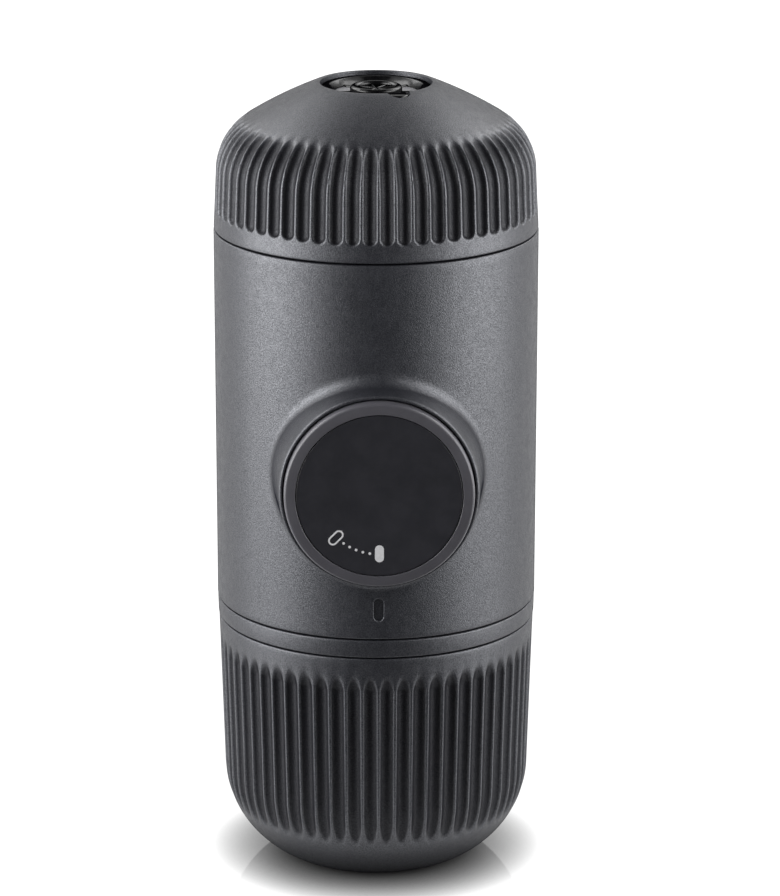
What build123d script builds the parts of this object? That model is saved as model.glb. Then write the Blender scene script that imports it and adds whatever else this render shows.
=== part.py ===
from math import acos, asin, atan2, cos, degrees, pi, radians, sin, sqrt, tan
import os

from build123d import *

# Handheld manual espresso maker, stored upright on its cup. Millimetres.
# The origin is the centre of the cup's resting face, +Z runs up the bottle's axis
# and the pump knob faces -Y. HEIGHT and BODY_TOP_R set the size of the bottle:
# the pump, the basket and the walls keep their own sizes and move with them.

# ---- outside of the bottle ----
HEIGHT = 156.0            # resting face to the top of the outlet head
BODY_TOP_R = 31.5
HEAD_HEIGHT = 28.4        # parting line under the outlet head to the top
CUP_SHARE = 0.3186        # height of the cup's parting line, as a share of HEIGHT
KNOB_SHARE = 0.5449       # height of the knob's axis, as a share of HEIGHT
COLLAR_BAND = 3.8         # between the parting lines of the tank collar
SEAM_GAP = 0.30           # width of each parting line
EDGE_BREAK = 0.30         # chamfer on the rims beside a parting line
BODY_TAPER = 0.15         # the body is narrower at its foot
BODY_WALL = 2.3
RUN_CLEARANCE = 0.30      # between curved faces of pieces that move apart
FIT_CLEARANCE = 0.15      # between pieces assembled once
RUNNING_FIT = 0.05        # radial, shaft in bore
OVERRUN = 1.0             # how far a cut runs on past the piece

# ---- outlet head ----
HEAD_RIM_STEP = 0.05      # the rim is narrower than the body above the parting line
HEAD_FLARE = 0.51         # the wall widens from the shoulder down to the rim
SHOULDER_RADIUS = 12.0
SHOULDER_TURN = 58.0      # degrees
DOME_RADIUS = 90.0        # nearly straight cone above the shoulder
DOME_TOP_RIM = 0.765      # land between the dome's top edge and the nozzle hole
HEAD_WALL = 2.2
NOZZLE_HOLE_R = 10.8
SOCKET_WALL = 1.8         # ring under the roof that holds the nozzle insert
SOCKET_FLOOR = 1.6

# ---- flutes on head and cup ----
FLUTE_PITCH = 3.24        # round the head's wall
FLUTE_DEPTH = 0.80
FLUTE_FLOOR_HALF = 0.50   # half width of the flat floor
FLUTE_MOUTH_HALF = 1.36   # half width at the surface
FLUTE_OVERRUN = 0.15      # the flanks run on past the surface
FLUTE_REACH = 3.0         # how far a cutter stands out of the surface
HEAD_FLUTE_RISE = 3.4     # parting line to the foot of the flutes
HEAD_FOOT_SLOPE = 0.8     # rise of a flute's foot for each mm of depth
HEAD_FLUTE_RUN = 10.8     # straight run-out up the dome
CUP_FLUTE_DROP = 4.0      # parting line down to the soft top of the flutes
CUP_SOFT_TOP = 3.0        # height over which a cup flute reaches its depth
CUP_FLUTE_TURN = 7.5      # degrees round the bottom before the straight run-out
CUP_FLUTE_RUN = 16.7

# ---- cup ----
CUP_RIM_STEP = 0.23       # the rim is narrower than the body's foot
CUP_FLARE = 0.94          # the wall widens from the round bottom up to the rim
CUP_CURVE_Z = 18.2        # the round bottom starts here
CUP_CURVE_RADIUS = 20.0
CUP_WALL = 2.0
CUP_FLOOR = 2.0

# ---- water tank ----
TANK_COLLAR_STEP = 0.03   # the collar is narrower than the body's foot
TANK_COLLAR_TAPER = 0.12
TANK_WALL = 1.5
TANK_BOTTOM_Z = 10.0
TANK_CURVE_RADIUS = 14.0
CUP_GAP = 0.4             # between tank and cup
CUP_RING_DROP = 5.7       # parting line down to the middle of the ring
CUP_RING_HEIGHT = 1.6
CUP_RING_DEPTH = 0.7
NECK_LENGTH = 4.55        # below the bottom deck
NECK_WALL = 2.0
TANK_GASKET_THICKNESS = 1.2

# ---- main body inside ----
TOP_DECK_DROP = 7.6       # below the head's parting line
TOP_DECK_THICKNESS = 3.0
BOTTOM_DECK_THICKNESS = 3.0
LEDGE_HEIGHT = 3.5
LEDGE_DEPTH = 3.4
COLLAR_RISE = 9.4         # above the head's parting line
COLLAR_WALL = 3.4
CHAMBER_GAP = 0.4         # the brew chamber is wider than the basket
SEAL_LEDGE_RISE = 0.6
SCREEN_LEDGE_DROP = 1.2
SCREEN_LEDGE_WIDTH = 1.6
SCREEN_THICKNESS = 0.8
SCREW_COUNT = 4
SCREW_START = 45.0        # degrees from +X to the first deck screw
SCREW_R = 0.9
SCREW_HEAD_R = 1.7
SCREW_HEAD_HEIGHT = 1.4
SCREW_BITE = 2.3          # length in the deck
SNAP_HEIGHT = 0.8         # bead that holds the bottom deck
SNAP_DEPTH = 0.4

# ---- basket and its seal ----
BASKET_SET_IN = 5.29      # basket's inside to the inside of the collar
BASKET_SHEET = 0.5
BASKET_RISE = 7.7         # basket's top above the foot of the shoulder
BASKET_SEAL_THICKNESS = 1.4
PERFORATION_R = 0.8       # hexagonal openings, corner radius
PERFORATION_STEP = 4.0
PERFORATION_EDGE = 2.5    # plain border round the openings

# ---- head liner ----
LINER_SKIRT_WALL = 1.1
LINER_SKIRT_LIFT = 0.6    # above the head's rim
LINER_WALL = 1.4
LINER_WEB = 1.5
WELL_CLEARANCE = 0.4
ROOF_GAP = 0.7
SPOUT_R = 3.0
SPOUT_WALL = 1.5
HEAD_GASKET_THICKNESS = 1.0

# ---- nozzle insert ----
NOZZLE_RIM_WALL = 2.2
NOZZLE_FLOOR = 1.2
NOZZLE_DROP = 0.5         # below the head's top
ROSETTE_R = 5.0
ROSETTE_WALL = 1.4
ROSETTE_HEIGHT = 3.4
SPOKE_COUNT = 8
SPOKE_WIDTH = 0.9
SPOKE_HEIGHT = 2.2
OUTLET_R = 1.5
PLUG_LENGTH = 2.6
ORING_SECTION = 0.84
ORING_ROOM = 1.2          # groove width over the ring's section
TAB_ANGLE = -68.0         # degrees from +X: to the right of the front
TAB_REACH = 2.3           # beyond the insert's rim
TAB_WIDTH = 4.0
TAB_HEIGHT = 1.1
TAB_LIFT = 0.2            # above the insert's rim

# ---- boss and knob ----
BOSS_STAND_OFF = 6.2      # boss's front before the body
BOSS_RIM_R = 18.9
BOSS_DRAFT = 13.0         # degrees, the boss widens towards the body
BOSS_BLEND = 5.0
BOSS_EDGE = 0.45
BOSS_LENGTH = 19.1
BOSS_TUBE_WALL = 1.7
KNOB_R = 18.0
KNOB_SHOULDER = 0.3       # knob's shoulder before the boss
KNOB_CROWN = 2.0          # knob's front before its shoulder
KNOB_FRONT_LAND = 1.7     # the front is narrower than the skirt
KNOB_LENGTH = 20.0
KNOB_SKIRT_WALL = 1.6
KNOB_WEB = 2.2
FACE_R = 15.7
FACE_THICKNESS = 1.3
FACE_DISH = 0.45
FACE_RECESS = 0.15
KNOB_HUB_R = 5.0
KNOB_HUB_LENGTH = 5.0
STROKE = 12.0
LOCK_TURN = 45.0          # degrees, locked to unlocked
LUG_HEIGHT = 0.7
LUG_LENGTH = 2.2
LUG_SPAN = 20.0           # degrees
LUG_FRONT_CLEARANCE = 0.5
LUG_MARGIN = 3.0          # sideways room of a lug, in running clearances
KEY_COUNT = 3
KEY_START = 30.0          # degrees from +X to the first key
KEY_WIDTH = 3.0
KEY_HEIGHT = 1.1

# ---- marker slot in the body ----
MARKER_RISE = 6.1         # above the body's parting line
MARKER_WIDTH = 2.15
MARKER_HEIGHT = 4.7
MARKER_DEPTH = 0.7

# ---- pump ----
PISTON_R = 8.0
CYLINDER_WALL = 2.5
CYLINDER_SETBACK = 14.0   # behind the knob's front
CYLINDER_BACK_ROOM = 16.5 # end of the bore to the back of the body
CYLINDER_END_WALL = 4.0
PISTON_END_GAP = 2.6      # in front of the end of the bore
PISTON_LENGTH = 7.0
SEAL_COUNT = 2
SEAL_PITCH = 3.2
SEAL_WIDTH = 1.4
SEAL_DEPTH = 1.2
SEAL_FIT = 0.03
ROD_R = 3.0
ROD_HOLE_CLEARANCE = 0.08
CAP_FLANGE_R = 12.4
CAP_THICKNESS = 1.5
CAP_SPIGOT = 3.0
COLLAR_SLEEVE_WALL = 1.8
COLLAR_BASE = 5.0
COLLAR_SETBACK = 4.4      # behind the knob's front
FLANGE_THICKNESS = 1.5
SPRING_R = 6.4
SPRING_WIRE = 0.9
SPRING_TURNS = 4.0
KNOB_SCREW_R = 1.25
KNOB_SCREW_HEAD_R = 2.8
KNOB_SCREW_HEAD = 1.0
KNOB_SCREW_LENGTH = 7.0
ROD_FRONT_SETBACK = 0.95  # web left between screw head and rod
ROD_BITE = 4.0            # rod inside the piston head

# ---- check valves ----
VALVE_SETBACK = 1.4       # valve line in front of the end of the bore
PORT_R = 1.3
VALVE_STEM_R = 5.0
VALVE_CHAMBER_R = 3.0
OUTLET_SEAT_DEPTH = 3.6   # below the top of the pump's boss
INLET_SEAT_DROP = 8.0     # below the pump's lower boss
OUTLET_CHAMBER = 6.0      # height above the pump's boss
INLET_CHAMBER = 3.0
BALL_R = 2.5
BALL_LIFT = 0.05          # from the seat's edge
VALVE_COIL_R = 1.7
VALVE_WIRE = 0.5
VALVE_COIL_TURNS = 3.0
CYLINDER_BOSS = 4.0       # how far the valve bosses stand off the cylinder
WASHER_THICKNESS = 0.8
STRAINER_R = 5.0
STRAINER_WALL = 0.8
STRAINER_LENGTH = 6.0
STRAINER_SLOTS = 6
STRAINER_SLOT_WIDTH = 1.2
VENT_X = 12.0
VENT_STEM_R = 1.2
VENT_CAP_R = 3.6
VENT_CAP_THICKNESS = 0.9
VENT_BARB_R = 1.9
VENT_HOLE_R = 0.7
POST_Y = -9.0
POST_R = 3.6

# ---- derived places ----
HEAD_SEAM_Z = HEIGHT - HEAD_HEIGHT
CUP_SEAM_Z = round(HEIGHT * CUP_SHARE, 1)
BODY_SEAM_Z = CUP_SEAM_Z + COLLAR_BAND
KNOB_Z = round(HEIGHT * KNOB_SHARE, 1)
KNOB_AXIS = Axis((0, 0, KNOB_Z), (0, -1, 0))
BODY_TOP_Z = HEAD_SEAM_Z - SEAM_GAP / 2
HEAD_BOTTOM_Z = HEAD_SEAM_Z + SEAM_GAP / 2
BODY_BOTTOM_Z = BODY_SEAM_Z + SEAM_GAP / 2
TANK_TOP_Z = BODY_SEAM_Z - SEAM_GAP / 2
TANK_COLLAR_LOW_Z = CUP_SEAM_Z + SEAM_GAP / 2
CUP_TOP_Z = CUP_SEAM_Z - SEAM_GAP / 2
BODY_BOTTOM_R = BODY_TOP_R - BODY_TAPER
HEAD_RIM_R = BODY_TOP_R - HEAD_RIM_STEP
HEAD_R = HEAD_RIM_R - HEAD_FLARE
CUP_RIM_R = BODY_BOTTOM_R - CUP_RIM_STEP
CUP_R = CUP_RIM_R - CUP_FLARE
TANK_COLLAR_TOP_R = BODY_BOTTOM_R - TANK_COLLAR_STEP
TANK_COLLAR_BOTTOM_R = TANK_COLLAR_TOP_R - TANK_COLLAR_TAPER
HEAD_FLUTE_LOW_Z = HEAD_SEAM_Z + HEAD_FLUTE_RISE
CUP_FLUTE_TOP_Z = CUP_SEAM_Z - CUP_FLUTE_DROP
CUP_RING_Z = CUP_SEAM_Z - CUP_RING_DROP
FLUTE_COUNT = round(2 * pi * HEAD_R / FLUTE_PITCH)
SHOULDER_END_R = HEAD_R - SHOULDER_RADIUS * (1 - cos(radians(SHOULDER_TURN)))
DOME_CLOSE = SHOULDER_END_R - NOZZLE_HOLE_R - DOME_TOP_RIM
DOME_END_TURN = degrees(acos(cos(radians(SHOULDER_TURN)) - DOME_CLOSE / DOME_RADIUS))
DOME_RISE = DOME_RADIUS * (sin(radians(DOME_END_TURN)) - sin(radians(SHOULDER_TURN)))
SHOULDER_Z = HEIGHT - DOME_RISE - SHOULDER_RADIUS * sin(radians(SHOULDER_TURN))
TOP_DECK_Z = HEAD_SEAM_Z - TOP_DECK_DROP
COLLAR_TOP_Z = HEAD_SEAM_Z + COLLAR_RISE
SEAL_LEDGE_Z = HEAD_SEAM_Z + SEAL_LEDGE_RISE
SCREEN_LEDGE_Z = HEAD_SEAM_Z - SCREEN_LEDGE_DROP
BASKET_TOP_Z = SHOULDER_Z + BASKET_RISE
MARKER_Z = BODY_SEAM_Z + MARKER_RISE
BOSS_FRONT_Y = -BODY_TOP_R - BOSS_STAND_OFF
BOSS_BACK_Y = BOSS_FRONT_Y + BOSS_LENGTH
KNOB_SHOULDER_Y = BOSS_FRONT_Y - KNOB_SHOULDER
KNOB_FRONT_Y = KNOB_SHOULDER_Y - KNOB_CROWN
KNOB_FRONT_R = KNOB_R - KNOB_FRONT_LAND
KNOB_BACK_Y = KNOB_FRONT_Y + KNOB_LENGTH
CYLINDER_FRONT_Y = KNOB_FRONT_Y + CYLINDER_SETBACK
CYLINDER_END_Y = BODY_TOP_R - CYLINDER_BACK_ROOM
PISTON_END_Y = CYLINDER_END_Y - PISTON_END_GAP
VALVE_Y = CYLINDER_END_Y - VALVE_SETBACK
COLLAR_FRONT_Y = KNOB_FRONT_Y + COLLAR_SETBACK
LUG_STARTS = (-LUG_SPAN / 2, 180 - LUG_SPAN / 2)
BODY_INNER_R = BODY_BOTTOM_R - BODY_WALL
DECK_R = BODY_INNER_R - FIT_CLEARANCE
CUP_INNER_R = CUP_R - CUP_WALL
TANK_R = CUP_INNER_R - CUP_GAP
TANK_INNER_R = TANK_R - TANK_WALL
NECK_R = TANK_INNER_R - RUN_CLEARANCE
BOTTOM_DECK_Z = TANK_TOP_Z + TANK_GASKET_THICKNESS
NECK_BOTTOM_Z = BOTTOM_DECK_Z - NECK_LENGTH
BOTTOM_DECK_TOP_Z = BOTTOM_DECK_Z + BOTTOM_DECK_THICKNESS
DECK_TOP_Z = TOP_DECK_Z + TOP_DECK_THICKNESS
HEAD_INNER_R = HEAD_R - HEAD_WALL
LINER_OUTER_R = HEAD_INNER_R - FIT_CLEARANCE
LINER_INNER_R = LINER_OUTER_R - LINER_SKIRT_WALL
COLLAR_OUTER_R = LINER_INNER_R - RUN_CLEARANCE
COLLAR_INNER_R = COLLAR_OUTER_R - COLLAR_WALL
BASKET_R = COLLAR_INNER_R - BASKET_SET_IN
CHAMBER_R = BASKET_R + CHAMBER_GAP
BASKET_OUTER_R = BASKET_R + BASKET_SHEET
BASKET_FLANGE_R = COLLAR_INNER_R - RUN_CLEARANCE
FLANGE_Z = SEAL_LEDGE_Z + BASKET_SEAL_THICKNESS
FLANGE_TOP_Z = FLANGE_Z + BASKET_SHEET
LINER_WEB_Z = COLLAR_TOP_Z + HEAD_GASKET_THICKNESS
WELL_R = BASKET_OUTER_R + WELL_CLEARANCE
WELL_OUTER_R = WELL_R + LINER_WALL
ROOF_Z = BASKET_TOP_Z + ROOF_GAP
ROOF_TOP_Z = ROOF_Z + LINER_WALL
NOZZLE_SEAT_Z = ROOF_TOP_Z + SOCKET_FLOOR
NOZZLE_R = NOZZLE_HOLE_R - RUN_CLEARANCE
NOZZLE_TOP_Z = HEIGHT - NOZZLE_DROP
SCREW_CIRCLE_R = BODY_INNER_R - LEDGE_DEPTH / 2
CYLINDER_R = PISTON_R + CYLINDER_WALL
CYLINDER_BACK_Y = CYLINDER_END_Y + CYLINDER_END_WALL
KNOB_WEB_BACK_Y = KNOB_FRONT_Y + FACE_RECESS + FACE_THICKNESS + KNOB_WEB
KNOB_BORE_R = KNOB_R - KNOB_SKIRT_WALL
LOCK_COLLAR_R = KNOB_BORE_R - RUN_CLEARANCE
BOSS_BORE_R = KNOB_R + RUN_CLEARANCE
CYLINDER_TOP_Z = KNOB_Z + CYLINDER_R + CYLINDER_BOSS
CYLINDER_LOW_Z = KNOB_Z - CYLINDER_R - CYLINDER_BOSS
BALL_SEAT_DROP = sqrt(BALL_R**2 - PORT_R**2)
OUTLET_SEAT_Z = CYLINDER_TOP_Z - OUTLET_SEAT_DEPTH
INLET_SEAT_Z = CYLINDER_LOW_Z - INLET_SEAT_DROP
OUTLET_BALL_Z = OUTLET_SEAT_Z + BALL_SEAT_DROP + BALL_LIFT
INLET_BALL_Z = INLET_SEAT_Z + BALL_SEAT_DROP + BALL_LIFT
OUTLET_SPRING_TOP_Z = CYLINDER_TOP_Z + OUTLET_CHAMBER
INLET_SPRING_TOP_Z = CYLINDER_LOW_Z + INLET_CHAMBER
COLLAR_BASE_Y = CYLINDER_FRONT_Y + RUN_CLEARANCE
COLLAR_BACK_Y = COLLAR_BASE_Y + COLLAR_BASE
PISTON_FRONT_Y = PISTON_END_Y - PISTON_LENGTH
SCREW_SEAT_Y = KNOB_FRONT_Y + FACE_RECESS + FACE_THICKNESS + KNOB_SCREW_HEAD
ROD_FRONT_Y = SCREW_SEAT_Y + ROD_FRONT_SETBACK


# ---- drawing helpers ----
def turned(outline):
    """Solid of revolution about the bottle's axis from a closed (radius, height) outline."""
    return revolve(Plane.XZ * make_face(outline), Axis.Z)


def turned_on_knob(outline):
    """Solid of revolution about the knob's axis from a closed (radius, y) outline."""
    return revolve(Pos(0, 0, KNOB_Z) * make_face(outline), KNOB_AXIS)


def ring(inner, outer, low, high, x=0.0, y=0.0):
    """Upright ring, or a plain cylinder where inner is 0."""
    base = Circle(outer) - Circle(inner) if inner else Circle(outer)
    return extrude(Pos(x, y, low) * base, high - low)


def knob_ring(inner, outer, front, back):
    """Ring about the knob's axis between two y places."""
    outline = Polyline((inner, front), (outer, front), (outer, back), (inner, back), close=True)
    return turned_on_knob(outline)


def sector(inner, outer, front, back, start, span):
    """Part of a ring about the knob's axis; angles in degrees, seen from the front, from +X."""
    face = Pos(0, 0, KNOB_Z) * make_face(
        Polyline((inner, front), (outer, front), (outer, back), (inner, back), close=True))
    return revolve(face.rotate(KNOB_AXIS, start), KNOB_AXIS, span)


def spring(radius, wire, low, high, turns):
    """Open coil with a square wire, standing on z = low."""
    height = high - low - wire
    path = Helix(height / turns, height, radius, center=(0, 0, low + wire / 2))
    start = path @ 0
    section = Plane(origin=start, z_dir=path % 0) * Rectangle(wire, wire)
    return sweep(section, path, is_frenet=True)


# ---- flutes ----
def head_wall_radius(z):
    """Outside radius of the head's wall, which widens from the shoulder down to the rim."""
    return HEAD_R + HEAD_FLARE * (SHOULDER_Z - z) / (SHOULDER_Z - HEAD_BOTTOM_Z)


def cup_wall_radius(z):
    """Outside radius of the cup's wall, which widens from the round bottom up to the rim."""
    return CUP_R + CUP_FLARE * (z - CUP_CURVE_Z) / (CUP_TOP_Z - CUP_CURVE_Z)


def flute_cutter(outline_at):
    """One flute across the +X side: flat floor and two flanks, ruled between four outlines."""
    slope = FLUTE_DEPTH / (FLUTE_MOUTH_HALF - FLUTE_FLOOR_HALF)
    edge = FLUTE_MOUTH_HALF + FLUTE_OVERRUN / slope
    floor = FLUTE_FLOOR_HALF
    lip = -FLUTE_OVERRUN
    stations = [(-edge, lip), (-floor, FLUTE_DEPTH), (floor, FLUTE_DEPTH), (edge, lip)]
    sections = [Pos(0, side, 0) * (Plane.XZ * make_face(outline_at(depth))) for side, depth in stations]
    return loft(sections, ruled=True)


def fluted(body, cutter):
    """The body with the flute repeated all round, a crest on the front centre line."""
    pitch = 360 / FLUTE_COUNT
    return body - [Rot(0, 0, -90 + pitch * (i + 0.5)) * cutter for i in range(FLUTE_COUNT)]


def head_flute_outline(depth):
    """Side view of a head flute: chamfered foot, straight wall, shoulder, run-out up the dome."""
    foot = HEAD_FLUTE_LOW_Z + (FLUTE_DEPTH - depth) * HEAD_FOOT_SLOPE
    start_z = foot + depth + EDGE_BREAK
    radius = SHOULDER_RADIUS - depth
    turn = SHOULDER_TURN - degrees(acos((SHOULDER_RADIUS - FLUTE_DEPTH) / SHOULDER_RADIUS))
    wall = Line((head_wall_radius(start_z) - depth, start_z), (HEAD_R - depth, SHOULDER_Z))
    bend = JernArc(wall @ 1, (0, 1), radius, turn)
    run_out = Line(bend @ 1, (bend @ 1) + (bend % 1) * HEAD_FLUTE_RUN)
    top = run_out @ 1
    corner = (HEAD_R + FLUTE_REACH, top.Y + FLUTE_REACH)
    low = foot - FLUTE_REACH - depth + EDGE_BREAK
    back = Polyline(top, corner, (HEAD_R + FLUTE_REACH, low + depth), wall @ 0)
    return wall + bend + run_out + back


def cup_flute_outline(depth):
    """Side view of a cup flute: soft top, straight wall, run-out under the round bottom."""
    start_z = CUP_FLUTE_TOP_Z - CUP_SOFT_TOP
    start_r = cup_wall_radius(start_z) - depth
    wall = Line((start_r, start_z), (CUP_R - depth, CUP_CURVE_Z))
    bend = JernArc(wall @ 1, wall % 1, CUP_CURVE_RADIUS - depth, -CUP_FLUTE_TURN)
    run_out = Line(bend @ 1, (bend @ 1) + (bend % 1) * CUP_FLUTE_RUN)
    low = run_out @ 1
    outer = CUP_RIM_R + FLUTE_REACH
    soft_step = cup_wall_radius(CUP_FLUTE_TOP_Z) - cup_wall_radius(start_z) + FLUTE_DEPTH
    rise = (outer - start_r) * CUP_SOFT_TOP / soft_step
    back = Polyline(low, (outer, low.Y - FLUTE_REACH), (outer, start_z + rise), wall @ 0)
    return wall + bend + run_out + back


# ---- outlines ----
def head_outline(offset):
    """Half profile of the dome, offset inwards; open at the axis side for a closing line."""
    wall = Line((HEAD_RIM_R - offset, HEAD_BOTTOM_Z), (HEAD_R - offset, SHOULDER_Z))
    shoulder = JernArc(wall @ 1, (0, 1), SHOULDER_RADIUS - offset, SHOULDER_TURN)
    start = shoulder @ 1
    rise = HEIGHT - offset - start.Y
    dome_turn = degrees(asin(sin(radians(SHOULDER_TURN)) + rise / (DOME_RADIUS - offset))) - SHOULDER_TURN
    dome = JernArc(start, shoulder % 1, DOME_RADIUS - offset, dome_turn)
    return wall, shoulder, dome


def cup_outside():
    """Closed half profile of the cup's outside: widening wall, round bottom, resting face."""
    wall = Line((CUP_RIM_R, CUP_TOP_Z), (CUP_R, CUP_CURVE_Z))
    tilt = atan2(CUP_FLARE, CUP_TOP_Z - CUP_CURVE_Z)
    turn = asin(CUP_CURVE_Z / CUP_CURVE_RADIUS + sin(tilt)) - tilt
    bottom = JernArc(wall @ 1, wall % 1, CUP_CURVE_RADIUS, -degrees(turn))
    return wall + bottom + Polyline(bottom @ 1, (0, 0), (0, CUP_TOP_Z), wall @ 0)


def cup_inside():
    """Closed half profile of the room in the cup: straight wall, round bottom, floor."""
    tilt = atan2(CUP_FLARE, CUP_TOP_Z - CUP_CURVE_Z)
    centre_z = CUP_CURVE_Z + CUP_CURVE_RADIUS * sin(tilt)
    radius = CUP_CURVE_RADIUS - CUP_WALL
    wall = Line((CUP_INNER_R, CUP_TOP_Z), (CUP_INNER_R, centre_z))
    turn = degrees(asin((centre_z - CUP_FLOOR) / radius))
    bottom = JernArc(wall @ 1, (0, -1), radius, -turn)
    return wall + bottom + Polyline(bottom @ 1, (0, CUP_FLOOR), (0, CUP_TOP_Z), wall @ 0)


def circles_at(solid, z, radius):
    """Round edges of the solid at this height and radius."""
    found = []
    for edge in solid.edges().filter_by(GeomType.CIRCLE):
        if abs(edge.arc_center.Z - z) < 0.01 and abs(edge.radius - radius) < 0.05:
            found.append(edge)
    return found


def knob_circles_at(solid, y, radius):
    """Round edges about the knob's axis at this y and radius."""
    found = []
    for edge in solid.edges().filter_by(GeomType.CIRCLE):
        if abs(edge.arc_center.Y - y) < 0.01 and abs(edge.radius - radius) < 0.05:
            found.append(edge)
    return found


def perforated(plate, radius, low, high):
    """The plate with rings of hexagonal openings out to its border, six more in each ring."""
    places = [(0.0, 0.0)]
    for row in range(1, int((radius - PERFORATION_EDGE) / PERFORATION_STEP) + 1):
        for i in range(6 * row):
            turn = 2 * pi * i / (6 * row)
            places.append((row * PERFORATION_STEP * cos(turn), row * PERFORATION_STEP * sin(turn)))
    openings = [Pos(x, y, low) * RegularPolygon(PERFORATION_R, 6) for x, y in places]
    return plate - [extrude(opening, high - low) for opening in openings]


# ---- outlet head ----
def outlet_head():
    wall, shoulder, dome = head_outline(0)
    closing = Polyline(dome @ 1, (0, HEIGHT), (0, HEAD_BOTTOM_Z), wall @ 0)
    outer = turned(wall + shoulder + dome + closing)
    outer = chamfer(circles_at(outer, HEAD_BOTTOM_Z, HEAD_RIM_R), EDGE_BREAK)
    _, inner_shoulder, inner_dome = head_outline(HEAD_WALL)
    bore = Line((HEAD_INNER_R, HEAD_BOTTOM_Z), inner_shoulder @ 0)
    roof = Polyline(inner_dome @ 1, (0, HEIGHT - HEAD_WALL), (0, HEAD_BOTTOM_Z), bore @ 0)
    cavity = turned(bore + inner_shoulder + inner_dome + roof)
    socket = ring(0, NOZZLE_HOLE_R + SOCKET_WALL, ROOF_TOP_Z, HEIGHT) & outer
    shell = fluted(outer, flute_cutter(head_flute_outline)) - cavity + socket
    shell -= ring(0, NOZZLE_HOLE_R, NOZZLE_SEAT_Z, HEIGHT)
    shell -= ring(0, SPOUT_R + SPOUT_WALL + FIT_CLEARANCE, ROOF_TOP_Z, NOZZLE_SEAT_Z)
    return shell - nozzle_tab(RUN_CLEARANCE, HEIGHT)


def head_liner():
    skirt_low = HEAD_BOTTOM_Z + LINER_SKIRT_LIFT
    web_top = LINER_WEB_Z + LINER_WEB
    spout_outer = SPOUT_R + SPOUT_WALL
    well_low = FLANGE_TOP_Z + RUN_CLEARANCE
    return turned(Polyline(
        (LINER_INNER_R, skirt_low), (LINER_OUTER_R, skirt_low), (LINER_OUTER_R, web_top),
        (WELL_OUTER_R, web_top), (WELL_OUTER_R, ROOF_Z), (WELL_R, ROOF_TOP_Z),
        (spout_outer, ROOF_TOP_Z), (spout_outer, NOZZLE_SEAT_Z), (SPOUT_R, NOZZLE_SEAT_Z),
        (SPOUT_R, ROOF_Z), (WELL_R, ROOF_Z), (WELL_R, well_low), (WELL_OUTER_R, well_low),
        (WELL_OUTER_R, LINER_WEB_Z), (LINER_INNER_R, LINER_WEB_Z), close=True))


def head_gasket():
    return ring(COLLAR_INNER_R + EDGE_BREAK, COLLAR_OUTER_R - EDGE_BREAK, COLLAR_TOP_Z, LINER_WEB_Z)


def nozzle_tab(clearance, top):
    """Rounded pull tab over the insert's rim; with clearance it is the notch that takes it."""
    low = NOZZLE_TOP_Z + TAB_LIFT - TAB_HEIGHT
    inner = NOZZLE_R - NOZZLE_RIM_WALL / 2
    half = TAB_WIDTH / 2 + clearance
    reach = NOZZLE_R + TAB_REACH + clearance
    pad = Pos((inner + reach - half) / 2, 0) * Rectangle(reach - half - inner, 2 * half)
    pad += Pos(reach - half, 0) * Circle(half)
    return Rot(0, 0, TAB_ANGLE) * extrude(Pos(0, 0, low - clearance) * pad, top - low + clearance)


def outlet_nozzle():
    floor_top = NOZZLE_SEAT_Z + NOZZLE_FLOOR
    bowl_r = NOZZLE_R - NOZZLE_RIM_WALL
    body = ring(0, NOZZLE_R, NOZZLE_SEAT_Z, NOZZLE_TOP_Z) - ring(0, bowl_r, floor_top, NOZZLE_TOP_Z)
    body += nozzle_tab(0, NOZZLE_TOP_Z + TAB_LIFT)
    body += ring(ROSETTE_R - ROSETTE_WALL, ROSETTE_R, floor_top, floor_top + ROSETTE_HEIGHT)
    spoke_inner = ROSETTE_R - ROSETTE_WALL / 2
    spoke_length = bowl_r - spoke_inner + NOZZLE_RIM_WALL / 4
    spoke = Pos(spoke_inner + spoke_length / 2, 0, floor_top + SPOKE_HEIGHT / 2) * Box(
        spoke_length, SPOKE_WIDTH, SPOKE_HEIGHT)
    body += [Rot(0, 0, 360 / SPOKE_COUNT * i) * spoke for i in range(SPOKE_COUNT)]
    plug_low = NOZZLE_SEAT_Z - PLUG_LENGTH
    body += ring(0, SPOUT_R - RUN_CLEARANCE, plug_low, NOZZLE_SEAT_Z)
    groove_mid = NOZZLE_SEAT_Z - PLUG_LENGTH / 2
    groove_half = ORING_SECTION * ORING_ROOM / 2
    groove_r = SPOUT_R - RUNNING_FIT - ORING_SECTION - RUNNING_FIT / 2
    body -= ring(groove_r, SPOUT_R, groove_mid - groove_half, groove_mid + groove_half)
    return body - ring(0, OUTLET_R, plug_low, floor_top)


def nozzle_oring():
    middle = SPOUT_R - RUNNING_FIT - ORING_SECTION / 2
    return Pos(0, 0, NOZZLE_SEAT_Z - PLUG_LENGTH / 2) * Torus(middle, ORING_SECTION / 2)


# ---- coffee ----
def filter_basket():
    sheet = BASKET_SHEET
    shell = turned(Polyline(
        (BASKET_R, FLANGE_Z), (BASKET_FLANGE_R, FLANGE_Z), (BASKET_FLANGE_R, FLANGE_TOP_Z),
        (BASKET_OUTER_R, FLANGE_TOP_Z), (BASKET_OUTER_R, BASKET_TOP_Z - sheet),
        (BASKET_R, BASKET_TOP_Z), (0, BASKET_TOP_Z), (0, BASKET_TOP_Z - sheet),
        (BASKET_R, BASKET_TOP_Z - sheet), close=True))
    return perforated(shell, BASKET_R, BASKET_TOP_Z - sheet, BASKET_TOP_Z)


def basket_seal():
    return ring(CHAMBER_R + EDGE_BREAK, COLLAR_INNER_R - FIT_CLEARANCE, SEAL_LEDGE_Z, FLANGE_Z)


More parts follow.
